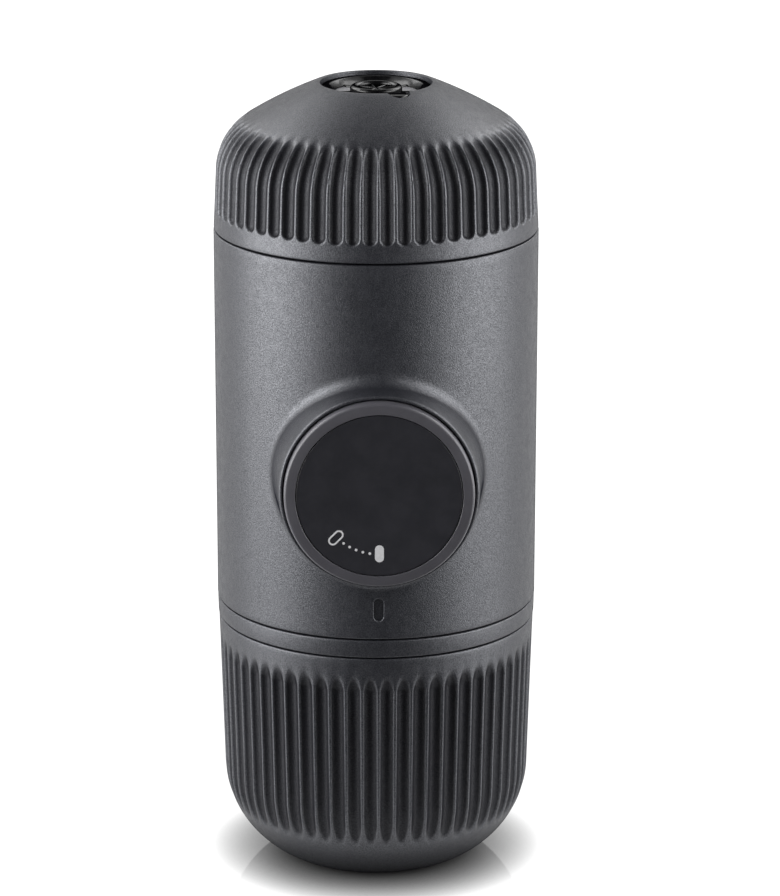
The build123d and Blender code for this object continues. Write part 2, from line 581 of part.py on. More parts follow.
def shower_screen():
    top = SCREEN_LEDGE_Z + SCREEN_THICKNESS
    disc = ring(0, CHAMBER_R - FIT_CLEARANCE, SCREEN_LEDGE_Z, top)
    return perforated(disc, CHAMBER_R - SCREEN_LEDGE_WIDTH, SCREEN_LEDGE_Z, top)


# ---- main body ----
def body_shell():
    shell = casing_with_boss() - ring(0, BODY_INNER_R, BODY_BOTTOM_Z, BODY_TOP_Z)
    ledge_r = BODY_INNER_R - LEDGE_DEPTH
    shell += ring(ledge_r, BODY_INNER_R, TOP_DECK_Z - LEDGE_HEIGHT, TOP_DECK_Z)
    shell += ring(ledge_r, BODY_INNER_R, BOTTOM_DECK_TOP_Z, BOTTOM_DECK_TOP_Z + LEDGE_HEIGHT)
    shell += knob_ring(0, BOSS_BORE_R + BOSS_TUBE_WALL, -BODY_INNER_R, BOSS_BACK_Y)
    shell -= knob_ring(0, BOSS_BORE_R, BOSS_FRONT_Y, BOSS_BACK_Y)
    pocket_front = KNOB_BACK_Y - LUG_LENGTH - STROKE - LUG_FRONT_CLEARANCE
    pocket_r = KNOB_R + LUG_HEIGHT + RUN_CLEARANCE
    margin = degrees(RUN_CLEARANCE * LUG_MARGIN / BOSS_BORE_R)
    for start in LUG_STARTS:
        shell -= sector(BOSS_BORE_R - FIT_CLEARANCE, pocket_r, pocket_front, BOSS_BACK_Y, start - margin,
                        LUG_SPAN + LOCK_TURN + 2 * margin)
    mid = BOTTOM_DECK_Z + BOTTOM_DECK_THICKNESS / 2
    half = SNAP_HEIGHT / 2 + FIT_CLEARANCE
    shell -= ring(BODY_INNER_R - FIT_CLEARANCE, BODY_INNER_R + SNAP_DEPTH, mid - half, mid + half)
    shell -= screw_bodies(SCREW_R + FIT_CLEARANCE)
    marker_floor = (0, MARKER_DEPTH - BODY_BOTTOM_R, MARKER_Z)
    slot_plane = Plane(origin=marker_floor, x_dir=(1, 0, 0), z_dir=(0, -1, 0))
    return shell - extrude(slot_plane * SlotOverall(MARKER_HEIGHT, MARKER_WIDTH, rotation=90), BODY_WALL)


def casing_with_boss():
    """Solid outside of the body: the tapered casing and the knob's boss, blended into each other."""
    casing = turned(Polyline(
        (0, BODY_BOTTOM_Z), (BODY_BOTTOM_R, BODY_BOTTOM_Z), (BODY_TOP_R, BODY_TOP_Z), (0, BODY_TOP_Z),
        close=True))
    rims = circles_at(casing, BODY_BOTTOM_Z, BODY_BOTTOM_R) + circles_at(casing, BODY_TOP_Z, BODY_TOP_R)
    foot_y = -BODY_INNER_R / 3
    foot_r = BOSS_RIM_R + (foot_y - BOSS_FRONT_Y) * tan(radians(BOSS_DRAFT))
    boss = turned_on_knob(Polyline(
        (0, BOSS_FRONT_Y), (BOSS_RIM_R, BOSS_FRONT_Y), (foot_r, foot_y), (0, foot_y), close=True))
    solid = chamfer(rims, EDGE_BREAK) + boss
    curved = solid.edges().filter_by(GeomType.BSPLINE)
    joint = [edge for edge in curved if edge.length > 2 * pi * BOSS_RIM_R]
    solid = fillet(joint, BOSS_BLEND)
    return fillet(knob_circles_at(solid, BOSS_FRONT_Y, BOSS_RIM_R), BOSS_EDGE)


def screw_places():
    for i in range(SCREW_COUNT):
        turn = radians(SCREW_START + 360 / SCREW_COUNT * i)
        yield SCREW_CIRCLE_R * cos(turn), SCREW_CIRCLE_R * sin(turn)


def screw_bodies(radius):
    """Straight shanks of the deck screws at the given radius."""
    low = TOP_DECK_Z - LEDGE_HEIGHT
    return [ring(0, radius, low, TOP_DECK_Z + SCREW_BITE, x, y) for x, y in screw_places()]


def deck_screws():
    low = TOP_DECK_Z - LEDGE_HEIGHT
    heads = [ring(0, SCREW_HEAD_R, low - SCREW_HEAD_HEIGHT, low, x, y) for x, y in screw_places()]
    screws = [head + shank for head, shank in zip(heads, screw_bodies(SCREW_R))]
    return Compound(children=screws)


def brew_chamber():
    ledge_r = CHAMBER_R - SCREEN_LEDGE_WIDTH
    block = turned(Polyline(
        (0, TOP_DECK_Z), (DECK_R, TOP_DECK_Z), (DECK_R, DECK_TOP_Z), (COLLAR_OUTER_R, DECK_TOP_Z),
        (COLLAR_OUTER_R, COLLAR_TOP_Z), (COLLAR_INNER_R, COLLAR_TOP_Z), (COLLAR_INNER_R, SEAL_LEDGE_Z),
        (CHAMBER_R, SEAL_LEDGE_Z), (CHAMBER_R, SCREEN_LEDGE_Z), (ledge_r, SCREEN_LEDGE_Z),
        (ledge_r, DECK_TOP_Z), (0, DECK_TOP_Z), close=True))
    stem_low = CYLINDER_TOP_Z + WASHER_THICKNESS
    block += ring(0, VALVE_STEM_R, stem_low, TOP_DECK_Z, y=VALVE_Y)
    block += ring(0, POST_R, KNOB_Z, TOP_DECK_Z, y=POST_Y)
    block -= knob_ring(0, CYLINDER_R + FIT_CLEARANCE, CYLINDER_FRONT_Y, CYLINDER_BACK_Y)
    block -= ring(0, VALVE_CHAMBER_R, stem_low, OUTLET_SPRING_TOP_Z, y=VALVE_Y)
    block -= ring(0, PORT_R, OUTLET_SPRING_TOP_Z, DECK_TOP_Z, y=VALVE_Y)
    return block - screw_bodies(SCREW_R + RUNNING_FIT)


def tank_spigot():
    mid = BOTTOM_DECK_Z + BOTTOM_DECK_THICKNESS / 2
    block = ring(0, DECK_R, BOTTOM_DECK_Z, BOTTOM_DECK_TOP_Z)
    bead_r = BODY_INNER_R + SNAP_DEPTH - FIT_CLEARANCE
    block += ring(DECK_R - OVERRUN, bead_r, mid - SNAP_HEIGHT / 2, mid + SNAP_HEIGHT / 2)
    block += ring(NECK_R - NECK_WALL, NECK_R, NECK_BOTTOM_Z, BOTTOM_DECK_Z)
    stem_top = CYLINDER_LOW_Z - WASHER_THICKNESS
    block += ring(0, VALVE_STEM_R, BOTTOM_DECK_TOP_Z, stem_top, y=VALVE_Y)
    block += ring(0, POST_R, BOTTOM_DECK_TOP_Z, KNOB_Z, y=POST_Y)
    block -= knob_ring(0, CYLINDER_R + FIT_CLEARANCE, CYLINDER_FRONT_Y, CYLINDER_BACK_Y)
    block -= ring(0, VALVE_CHAMBER_R, INLET_SEAT_Z, stem_top, y=VALVE_Y)
    block -= ring(0, PORT_R, BOTTOM_DECK_Z, INLET_SEAT_Z, y=VALVE_Y)
    block -= ring(0, VENT_STEM_R + FIT_CLEARANCE, BOTTOM_DECK_Z, BOTTOM_DECK_TOP_Z, x=VENT_X)
    middle = (VENT_STEM_R + VENT_CAP_R) / 2
    for side in (-middle, middle):
        block -= ring(0, VENT_HOLE_R, BOTTOM_DECK_Z, BOTTOM_DECK_TOP_Z, x=VENT_X, y=side)
    return block


def inlet_strainer():
    low = BOTTOM_DECK_Z - STRAINER_LENGTH
    inner = STRAINER_R - STRAINER_WALL
    cage = ring(0, STRAINER_R, low, BOTTOM_DECK_Z) - ring(0, inner, low + STRAINER_WALL, BOTTOM_DECK_Z)
    slot_size = (3 * STRAINER_R, STRAINER_SLOT_WIDTH, STRAINER_LENGTH / 2)
    slot = Pos(0, 0, (low + BOTTOM_DECK_Z) / 2) * Box(*slot_size)
    cage -= [Rot(0, 0, 360 / STRAINER_SLOTS * i) * slot for i in range(STRAINER_SLOTS // 2)]
    return Pos(0, VALVE_Y, 0) * cage


def vent_valve():
    cap = ring(0, VENT_CAP_R, BOTTOM_DECK_Z - VENT_CAP_THICKNESS, BOTTOM_DECK_Z, x=VENT_X)
    stem = ring(0, VENT_STEM_R, BOTTOM_DECK_Z, BOTTOM_DECK_TOP_Z, x=VENT_X)
    barb = ring(0, VENT_BARB_R, BOTTOM_DECK_TOP_Z, BOTTOM_DECK_TOP_Z + VENT_CAP_THICKNESS, x=VENT_X)
    return cap + stem + barb


# ---- pump ----
def pump_cylinder():
    block = knob_ring(0, CYLINDER_R, CYLINDER_FRONT_Y, CYLINDER_BACK_Y)
    flange_front = COLLAR_BACK_Y + RUN_CLEARANCE
    block += knob_ring(0, CAP_FLANGE_R, flange_front, flange_front + FLANGE_THICKNESS)
    block += ring(0, VALVE_STEM_R, CYLINDER_LOW_Z, CYLINDER_TOP_Z, y=VALVE_Y)
    block -= knob_ring(0, PISTON_R, CYLINDER_FRONT_Y, CYLINDER_END_Y)
    block -= ring(0, PORT_R, INLET_SPRING_TOP_Z, OUTLET_SEAT_Z, y=VALVE_Y)
    block -= ring(0, VALVE_CHAMBER_R, OUTLET_SEAT_Z, CYLINDER_TOP_Z, y=VALVE_Y)
    return block - ring(0, VALVE_CHAMBER_R, CYLINDER_LOW_Z, INLET_SPRING_TOP_Z, y=VALVE_Y)


def cylinder_cap():
    rod_hole = ROD_R + ROD_HOLE_CLEARANCE
    seat = CYLINDER_FRONT_Y
    cap = knob_ring(rod_hole, CAP_FLANGE_R, seat - CAP_THICKNESS, seat)
    return cap + knob_ring(rod_hole, PISTON_R - FIT_CLEARANCE, seat, seat + CAP_SPIGOT)


def valve_washers():
    lows = (CYLINDER_TOP_Z, CYLINDER_LOW_Z - WASHER_THICKNESS)
    washers = [ring(VALVE_CHAMBER_R, VALVE_STEM_R, low, low + WASHER_THICKNESS, y=VALVE_Y) for low in lows]
    return Compound(children=washers)


def valve_ball(z):
    return Pos(0, VALVE_Y, z) * Sphere(BALL_R)


def valve_spring(ball_z, top):
    inner = VALVE_COIL_R - VALVE_WIRE / 2
    low = ball_z + sqrt(BALL_R**2 - inner**2) + BALL_LIFT
    return Pos(0, VALVE_Y, 0) * spring(VALVE_COIL_R, VALVE_WIRE, low, top, VALVE_COIL_TURNS)


def piston_spring():
    length = CYLINDER_FRONT_Y - CAP_THICKNESS - KNOB_WEB_BACK_Y
    coil = spring(SPRING_R, SPRING_WIRE, 0, length, SPRING_TURNS)
    return Pos(0, KNOB_WEB_BACK_Y, KNOB_Z) * Rot(-90, 0, 0) * coil


def lock_collar():
    collar = knob_ring(CYLINDER_R + ROD_HOLE_CLEARANCE, LOCK_COLLAR_R, COLLAR_BASE_Y, COLLAR_BACK_Y)
    collar += knob_ring(LOCK_COLLAR_R - COLLAR_SLEEVE_WALL, LOCK_COLLAR_R, COLLAR_FRONT_Y, COLLAR_BASE_Y)
    return collar - knob_keys(RUN_CLEARANCE, COLLAR_FRONT_Y, COLLAR_BACK_Y)


def knob_keys(clearance, front, back):
    """Keys inside the knob's skirt; with clearance they are the slots in the collar."""
    inner = KNOB_BORE_R - KEY_HEIGHT - clearance
    outer = KNOB_BORE_R + KNOB_SKIRT_WALL / 4
    key = Pos((inner + outer) / 2, (front + back) / 2, KNOB_Z) * Box(
        outer - inner, back - front, KEY_WIDTH + 2 * clearance)
    return [key.rotate(KNOB_AXIS, KEY_START + 360 / KEY_COUNT * i) for i in range(KEY_COUNT)]


def knob_shell():
    face_back = KNOB_FRONT_Y + FACE_RECESS + FACE_THICKNESS
    pocket_r = FACE_R + FIT_CLEARANCE
    hub_back = KNOB_WEB_BACK_Y + KNOB_HUB_LENGTH
    shell = turned_on_knob(Polyline(
        (0, face_back), (pocket_r, face_back), (pocket_r, KNOB_FRONT_Y), (KNOB_FRONT_R, KNOB_FRONT_Y),
        (KNOB_R, KNOB_SHOULDER_Y), (KNOB_R, KNOB_BACK_Y), (KNOB_BORE_R, KNOB_BACK_Y),
        (KNOB_BORE_R, KNOB_WEB_BACK_Y), (KNOB_HUB_R, KNOB_WEB_BACK_Y), (KNOB_HUB_R, hub_back),
        (0, hub_back), close=True))
    shell = fillet(knob_circles_at(shell, KNOB_SHOULDER_Y, KNOB_R), EDGE_BREAK)
    lug_root = KNOB_R - KNOB_SKIRT_WALL / 2
    lug_front = KNOB_BACK_Y - LUG_LENGTH
    for start in LUG_STARTS:
        shell += sector(lug_root, KNOB_R + LUG_HEIGHT, lug_front, KNOB_BACK_Y, start, LUG_SPAN)
    shell += knob_keys(0, KNOB_WEB_BACK_Y - KNOB_WEB / 4, KNOB_BACK_Y)
    shell -= knob_ring(0, ROD_R + RUNNING_FIT, ROD_FRONT_Y, hub_back)
    shell -= knob_ring(0, KNOB_SCREW_HEAD_R + FIT_CLEARANCE, face_back, SCREW_SEAT_Y)
    return shell - knob_ring(0, KNOB_SCREW_R + FIT_CLEARANCE, SCREW_SEAT_Y, ROD_FRONT_Y)


def knob_face():
    front = KNOB_FRONT_Y + FACE_RECESS
    disc = knob_ring(0, FACE_R, front, front + FACE_THICKNESS)
    dish_r = (FACE_R**2 + FACE_DISH**2) / (2 * FACE_DISH)
    return disc - Pos(0, front + FACE_DISH - dish_r, KNOB_Z) * Sphere(dish_r)


def knob_screw():
    head = knob_ring(0, KNOB_SCREW_HEAD_R, SCREW_SEAT_Y - KNOB_SCREW_HEAD, SCREW_SEAT_Y)
    return head + knob_ring(0, KNOB_SCREW_R, SCREW_SEAT_Y, SCREW_SEAT_Y + KNOB_SCREW_LENGTH)


def piston_rod():
    rod = knob_ring(0, ROD_R, ROD_FRONT_Y, PISTON_FRONT_Y + ROD_BITE)
    hole_end = SCREW_SEAT_Y + KNOB_SCREW_LENGTH + OVERRUN
    return rod - knob_ring(0, KNOB_SCREW_R + RUNNING_FIT, ROD_FRONT_Y, hole_end)


def seal_places():
    middle = PISTON_FRONT_Y + PISTON_LENGTH / 2
    for i in range(SEAL_COUNT):
        yield middle + SEAL_PITCH * (i - (SEAL_COUNT - 1) / 2)


def piston_head():
    head = knob_ring(0, PISTON_R - RUNNING_FIT, PISTON_FRONT_Y, PISTON_END_Y)
    groove_r = PISTON_R - RUNNING_FIT - SEAL_DEPTH
    half = SEAL_WIDTH / 2 + RUNNING_FIT
    for y in seal_places():
        head -= knob_ring(groove_r, PISTON_R, y - half, y + half)
    return head - knob_ring(0, ROD_R + RUNNING_FIT, PISTON_FRONT_Y, PISTON_FRONT_Y + ROD_BITE)


def piston_seals():
    inner = PISTON_R - SEAL_DEPTH
    half = SEAL_WIDTH / 2
    rings = [knob_ring(inner, PISTON_R - SEAL_FIT, y - half, y + half) for y in seal_places()]
    return Compound(children=rings)


# ---- tank and cup ----
def tank_outline(offset, top, low):
    """Half section of the tank's bowl, offset inwards."""
    wall_r = TANK_R - offset
    curve = TANK_CURVE_RADIUS - offset
    curve_z = low + curve
    bottom = JernArc((wall_r, curve_z), (0, -1), curve, -90)
    wall = Line((wall_r, curve_z), (wall_r, top))
    return bottom + wall + Polyline(wall @ 1, (0, top), (0, low), bottom @ 1)


def water_tank():
    collar = turned(Polyline(
        (0, TANK_COLLAR_LOW_Z), (TANK_COLLAR_BOTTOM_R, TANK_COLLAR_LOW_Z), (TANK_COLLAR_TOP_R, TANK_TOP_Z),
        (0, TANK_TOP_Z), close=True))
    rims = circles_at(collar, TANK_COLLAR_LOW_Z, TANK_COLLAR_BOTTOM_R)
    rims += circles_at(collar, TANK_TOP_Z, TANK_COLLAR_TOP_R)
    tank = chamfer(rims, EDGE_BREAK) + turned(tank_outline(0, TANK_COLLAR_LOW_Z, TANK_BOTTOM_Z))
    tank -= turned(tank_outline(TANK_WALL, TANK_TOP_Z, TANK_BOTTOM_Z + TANK_WALL))
    half = CUP_RING_HEIGHT / 2 + RUNNING_FIT
    return tank - ring(TANK_R - CUP_RING_DEPTH, TANK_R + OVERRUN, CUP_RING_Z - half, CUP_RING_Z + half)


def cup_ring():
    half = CUP_RING_HEIGHT / 2
    inner = TANK_R - CUP_RING_DEPTH + RUNNING_FIT
    return ring(inner, CUP_INNER_R - RUNNING_FIT, CUP_RING_Z - half, CUP_RING_Z + half)


def tank_gasket():
    return ring(NECK_R + FIT_CLEARANCE, BODY_INNER_R - 3 * FIT_CLEARANCE, TANK_TOP_Z, BOTTOM_DECK_Z)


def cup():
    outer = turned(cup_outside())
    outer = chamfer(circles_at(outer, CUP_TOP_Z, CUP_RIM_R), EDGE_BREAK)
    shell = fluted(outer, flute_cutter(cup_flute_outline))
    return shell - turned(cup_inside())


NODES = {
    "outlet_head": outlet_head, "head_liner": head_liner, "head_gasket": head_gasket,
    "outlet_nozzle": outlet_nozzle, "nozzle_oring": nozzle_oring,
    "filter_basket": filter_basket, "basket_seal": basket_seal, "shower_screen": shower_screen,
    "body_shell": body_shell, "brew_chamber": brew_chamber, "tank_spigot": tank_spigot,
    "deck_screws": deck_screws, "inlet_strainer": inlet_strainer, "vent_valve": vent_valve,
    "pump_cylinder": pump_cylinder, "cylinder_cap": cylinder_cap, "valve_washers": valve_washers,
    "outlet_ball": lambda: valve_ball(OUTLET_BALL_Z),
    "outlet_spring": lambda: valve_spring(OUTLET_BALL_Z, OUTLET_SPRING_TOP_Z),
    "inlet_ball": lambda: valve_ball(INLET_BALL_Z),
    "inlet_spring": lambda: valve_spring(INLET_BALL_Z, INLET_SPRING_TOP_Z),
    "lock_collar": lock_collar, "piston_spring": piston_spring, "knob_shell": knob_shell,
    "knob_face": knob_face, "knob_screw": knob_screw, "piston_rod": piston_rod,
    "piston_head": piston_head, "piston_seals": piston_seals,
    "water_tank": water_tank, "tank_gasket": tank_gasket, "cup_ring": cup_ring, "cup": cup,
}

os.makedirs("parts", exist_ok=True)
for name, make in NODES.items():
    export_step(make(), f"parts/{name}.step")
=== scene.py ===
from math import acos, asin, atan2, cos, degrees, floor, hypot, pi, radians, sin, sqrt, tan

import bmesh
import bpy
from mathutils import Matrix, Vector


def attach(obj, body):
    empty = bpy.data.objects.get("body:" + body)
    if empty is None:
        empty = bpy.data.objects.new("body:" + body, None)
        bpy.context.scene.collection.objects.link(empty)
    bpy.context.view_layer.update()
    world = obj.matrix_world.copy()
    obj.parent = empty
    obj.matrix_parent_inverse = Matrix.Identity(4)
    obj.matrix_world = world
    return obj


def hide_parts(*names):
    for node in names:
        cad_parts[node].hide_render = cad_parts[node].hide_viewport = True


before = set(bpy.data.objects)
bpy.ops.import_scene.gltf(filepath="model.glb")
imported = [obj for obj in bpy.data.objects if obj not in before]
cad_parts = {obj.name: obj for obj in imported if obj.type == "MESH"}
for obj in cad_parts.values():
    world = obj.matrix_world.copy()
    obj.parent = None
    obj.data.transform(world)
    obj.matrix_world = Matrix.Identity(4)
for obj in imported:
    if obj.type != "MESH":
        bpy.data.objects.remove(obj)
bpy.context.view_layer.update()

# Espresso maker, dressed. Sizes below are in millimetres and become metres when a piece is finished.
MM = 0.001

# ---- the sizes that are the same as in the solids ----
TOP = 156.0
HEAD_LOW, BODY_TOP = 127.75, 127.45
BODY_LOW, COLLAR_TOP = 53.65, 53.35
COLLAR_LOW, CUP_TOP = 49.85, 49.55
BODY_TOP_R, BODY_LOW_R, BODY_INNER_R = 31.5, 31.35, 29.05
HEAD_RIM_R, HEAD_R, HEAD_WALL = 31.45, 30.94, 2.2
SHOULDER_Z, SHOULDER_R, SHOULDER_TURN, DOME_R = 138.8, 12.0, 58.0, 90.0
HOLE_R, SEAT_Z = 10.8, 150.2
CUP_RIM_R, CUP_R, CUP_CURVE_Z, CUP_CURVE_R = 31.12, 30.18, 18.2, 20.0
CUP_TILT = atan2(CUP_RIM_R - CUP_R, CUP_TOP - CUP_CURVE_Z)
CUP_CENTRE = (CUP_R - CUP_CURVE_R * cos(CUP_TILT), CUP_CURVE_Z + CUP_CURVE_R * sin(CUP_TILT))
CUP_WALL, CUP_FLOOR = 2.0, 2.0
KNOB_Z, BOSS_FRONT, BOSS_RIM_R, TUBE_R, TUBE_BACK = 85.0, 37.7, 18.9, 20.0, 18.6
FLUTES, CUP_FLUTE_TURN = 60, radians(7.5)
KNOB_FRONT, KNOB_R, KNOB_INNER_R, KNOB_BACK = 40.0, 18.0, 16.4, 20.0
DISC_R, DISC_FRONT, DISC_BACK, DISC_DISH = 15.7, 39.85, 38.55, 0.45
TANK_R, TANK_INNER_R, TANK_CURVE_Z, TANK_LOW, TANK_FLOOR = 27.78, 26.28, 24.0, 10.0, 11.5
RING_Z, RING_HALF, RING_DEPTH = 44.0, 0.85, 0.7
SLOT_Z, SLOT_STRAIGHT = 59.6, (4.7 - 2.15) / 2
TAB_START, TAB_END, TAB_HALF, TAB_LOW, TAB_HIGH, TAB_TURN = 9.4, 12.8, 2.0, 154.6, 155.7, radians(-68)

# ---- sizes set for the look, most of them a little off the solids' ----
BOSS_DRAFT, BOSS_BLEND, BORE_R = radians(6.0), 2.8, 18.25
FLUTE_DEPTH, FLUTE_MOUTH = 0.90, 1.34
HEAD_FOOT_Z, CUP_SOFT_Z, CUP_SOFT_SLOPE = 132.45, 42.7, 0.267
FLUTE_ARC = (FLUTE_MOUTH**2 + FLUTE_DEPTH**2) / (2 * FLUTE_DEPTH)
CREST_SHIFT = 0.07  # vertices draw together on the crests by this share of the pitch
KNOB_RIM_FRONT = 39.8
SLOT_HALF = 1.85 / 2
FLUTE_STEPS = 14
ROUND = 0.3
SHARP = 38.0  # edges above this angle stay sharp, in degrees


# ---- drawing ----
def arc(centre, radius, start, end, steps):
    """Points of an arc in a (radius, height) outline, angles in degrees, both ends included."""
    turns = [radians(start + (end - start) * i / steps) for i in range(steps + 1)]
    return [(centre[0] + radius * cos(t), centre[1] + radius * sin(t)) for t in turns]


def run(start, end, steps):
    """Points of a straight run, without its first point."""
    return [(start[0] + (end[0] - start[0]) * i / steps, start[1] + (end[1] - start[1]) * i / steps)
            for i in range(1, steps + 1)]


def rounded(outline, radii, segments=3):
    """The closed outline with the corners that radii names, by index, rounded off."""
    points = []
    count = len(outline)
    for i, corner in enumerate(outline):
        if i not in radii:
            points.append(corner)
            continue
        here = Vector(corner)
        before = (Vector(outline[i - 1]) - here).normalized()
        after = (Vector(outline[(i + 1) % count]) - here).normalized()
        half = before.angle(after) / 2
        centre = here + (before + after).normalized() * (radii[i] / sin(half))
        reach = radii[i] / tan(half)
        first = here + before * reach - centre
        last = here + after * reach - centre
        for j in range(segments + 1):
            way = first.lerp(last, j / segments).normalized() * radii[i] + centre
            points.append((way.x, way.y))
    return points


def drawn(bm, outline, closed):
    """Vertices and edges of a (radius, height) outline; each vertex keeps its row."""
    rows = bm.verts.layers.int.get("row") or bm.verts.layers.int.new("row")
    verts = [bm.verts.new((r, 0, z)) for r, z in outline]
    for i, v in enumerate(verts):
        v[rows] = i
    pairs = zip(verts, verts[1:] + verts[:1]) if closed else zip(verts, verts[1:])
    return verts + [bm.edges.new(pair) for pair in pairs]


def spun(bm, outline, steps, closed=True):
    """Turn an outline about the Z axis into the mesh."""
    bmesh.ops.spin(bm, geom=drawn(bm, outline, closed), cent=(0, 0, 0), axis=(0, 0, 1), angle=2 * pi,
                   steps=steps, use_merge=True)


def turned(outline, steps, closed=True):
    bm = bmesh.new()
    spun(bm, outline, steps, closed)
    return bm


def turned_in_flutes(outline, closed=True):
    """Turn an outline through one flute in fine steps, then repeat that slice all round."""
    pitch = 2 * pi / FLUTES
    bm = bmesh.new()
    bmesh.ops.spin(bm, geom=drawn(bm, outline, closed), cent=(0, 0, 0), axis=(0, 0, 1), angle=pitch,
                   steps=FLUTE_STEPS)
    for copies in (4, 15):
        everything = bm.verts[:] + bm.edges[:] + bm.faces[:]
        bmesh.ops.spin(bm, geom=everything, cent=(0, 0, 0), axis=(0, 0, 1), angle=pitch * (copies - 1),
                       steps=copies - 1, use_duplicate=True)
        pitch *= copies
    bmesh.ops.remove_doubles(bm, verts=bm.verts, dist=1e-3)
    return bm


def onto_knob(bm):
    """Turn a mesh drawn about the Z axis so that its top faces the front, on the knob's axis."""
    bmesh.ops.rotate(bm, cent=(0, 0, 0), matrix=Matrix.Rotation(radians(90), 3, "X"), verts=bm.verts)
    bmesh.ops.translate(bm, vec=(0, 0, KNOB_Z), verts=bm.verts)
    return bm


def new_verts(grown):
    """The vertices among what an extrusion made."""
    return [g for g in grown if isinstance(g, bmesh.types.BMVert)]


def closed_up(bm):
    bmesh.ops.remove_doubles(bm, verts=bm.verts, dist=1e-4)
    bmesh.ops.recalc_face_normals(bm, faces=bm.faces)
    return bm


def as_object(name, bm, sharp=SHARP):
    """A mesh object at the origin, in metres, smooth apart from edges above the sharp angle."""
    bmesh.ops.scale(bm, vec=(MM, MM, MM), verts=bm.verts)
    mesh = bpy.data.meshes.new(name)
    bm.to_mesh(mesh)
    bm.free()
    mesh.shade_smooth()
    mesh.set_sharp_from_angle(angle=radians(sharp))
    thing = bpy.data.objects.new(name, mesh)
    bpy.context.scene.collection.objects.link(thing)
    return thing


def carve(thing, bm):
    """Cut a closed mesh out of a piece."""
    cutter = as_object("cutter", bm)
    step = thing.modifiers.new("carve", "BOOLEAN")
    step.operation = "DIFFERENCE"
    step.solver = "MANIFOLD"
    step.object = cutter
    view = bpy.context.evaluated_depsgraph_get()
    mesh = bpy.data.meshes.new_from_object(thing.evaluated_get(view))
    thing.modifiers.clear()
    plain = thing.data
    thing.data = mesh
    bpy.data.objects.remove(cutter)
    bpy.data.meshes.remove(plain)
    mesh.name = thing.name
    mesh.shade_smooth()
    mesh.set_sharp_from_angle(angle=radians(SHARP))
    return thing


def dress(thing, body, slot, material, *nodes):
    """Give a piece its material and its body, and hide the solids that it stands for; its slot is not used.
    """
    thing.data.materials.clear()
    thing.data.materials.append(material)
    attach(thing, body)
    if nodes:
        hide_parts(*nodes)
    return thing


# ---- materials ----
def colour(red, green, blue):
    """Linear colour from the 0-255 values that a screen shows."""
    return tuple(((c / 255 + 0.055) / 1.055) ** 2.4 if c > 10 else c / 255 / 12.92
                 for c in (red, green, blue)) + (1,)


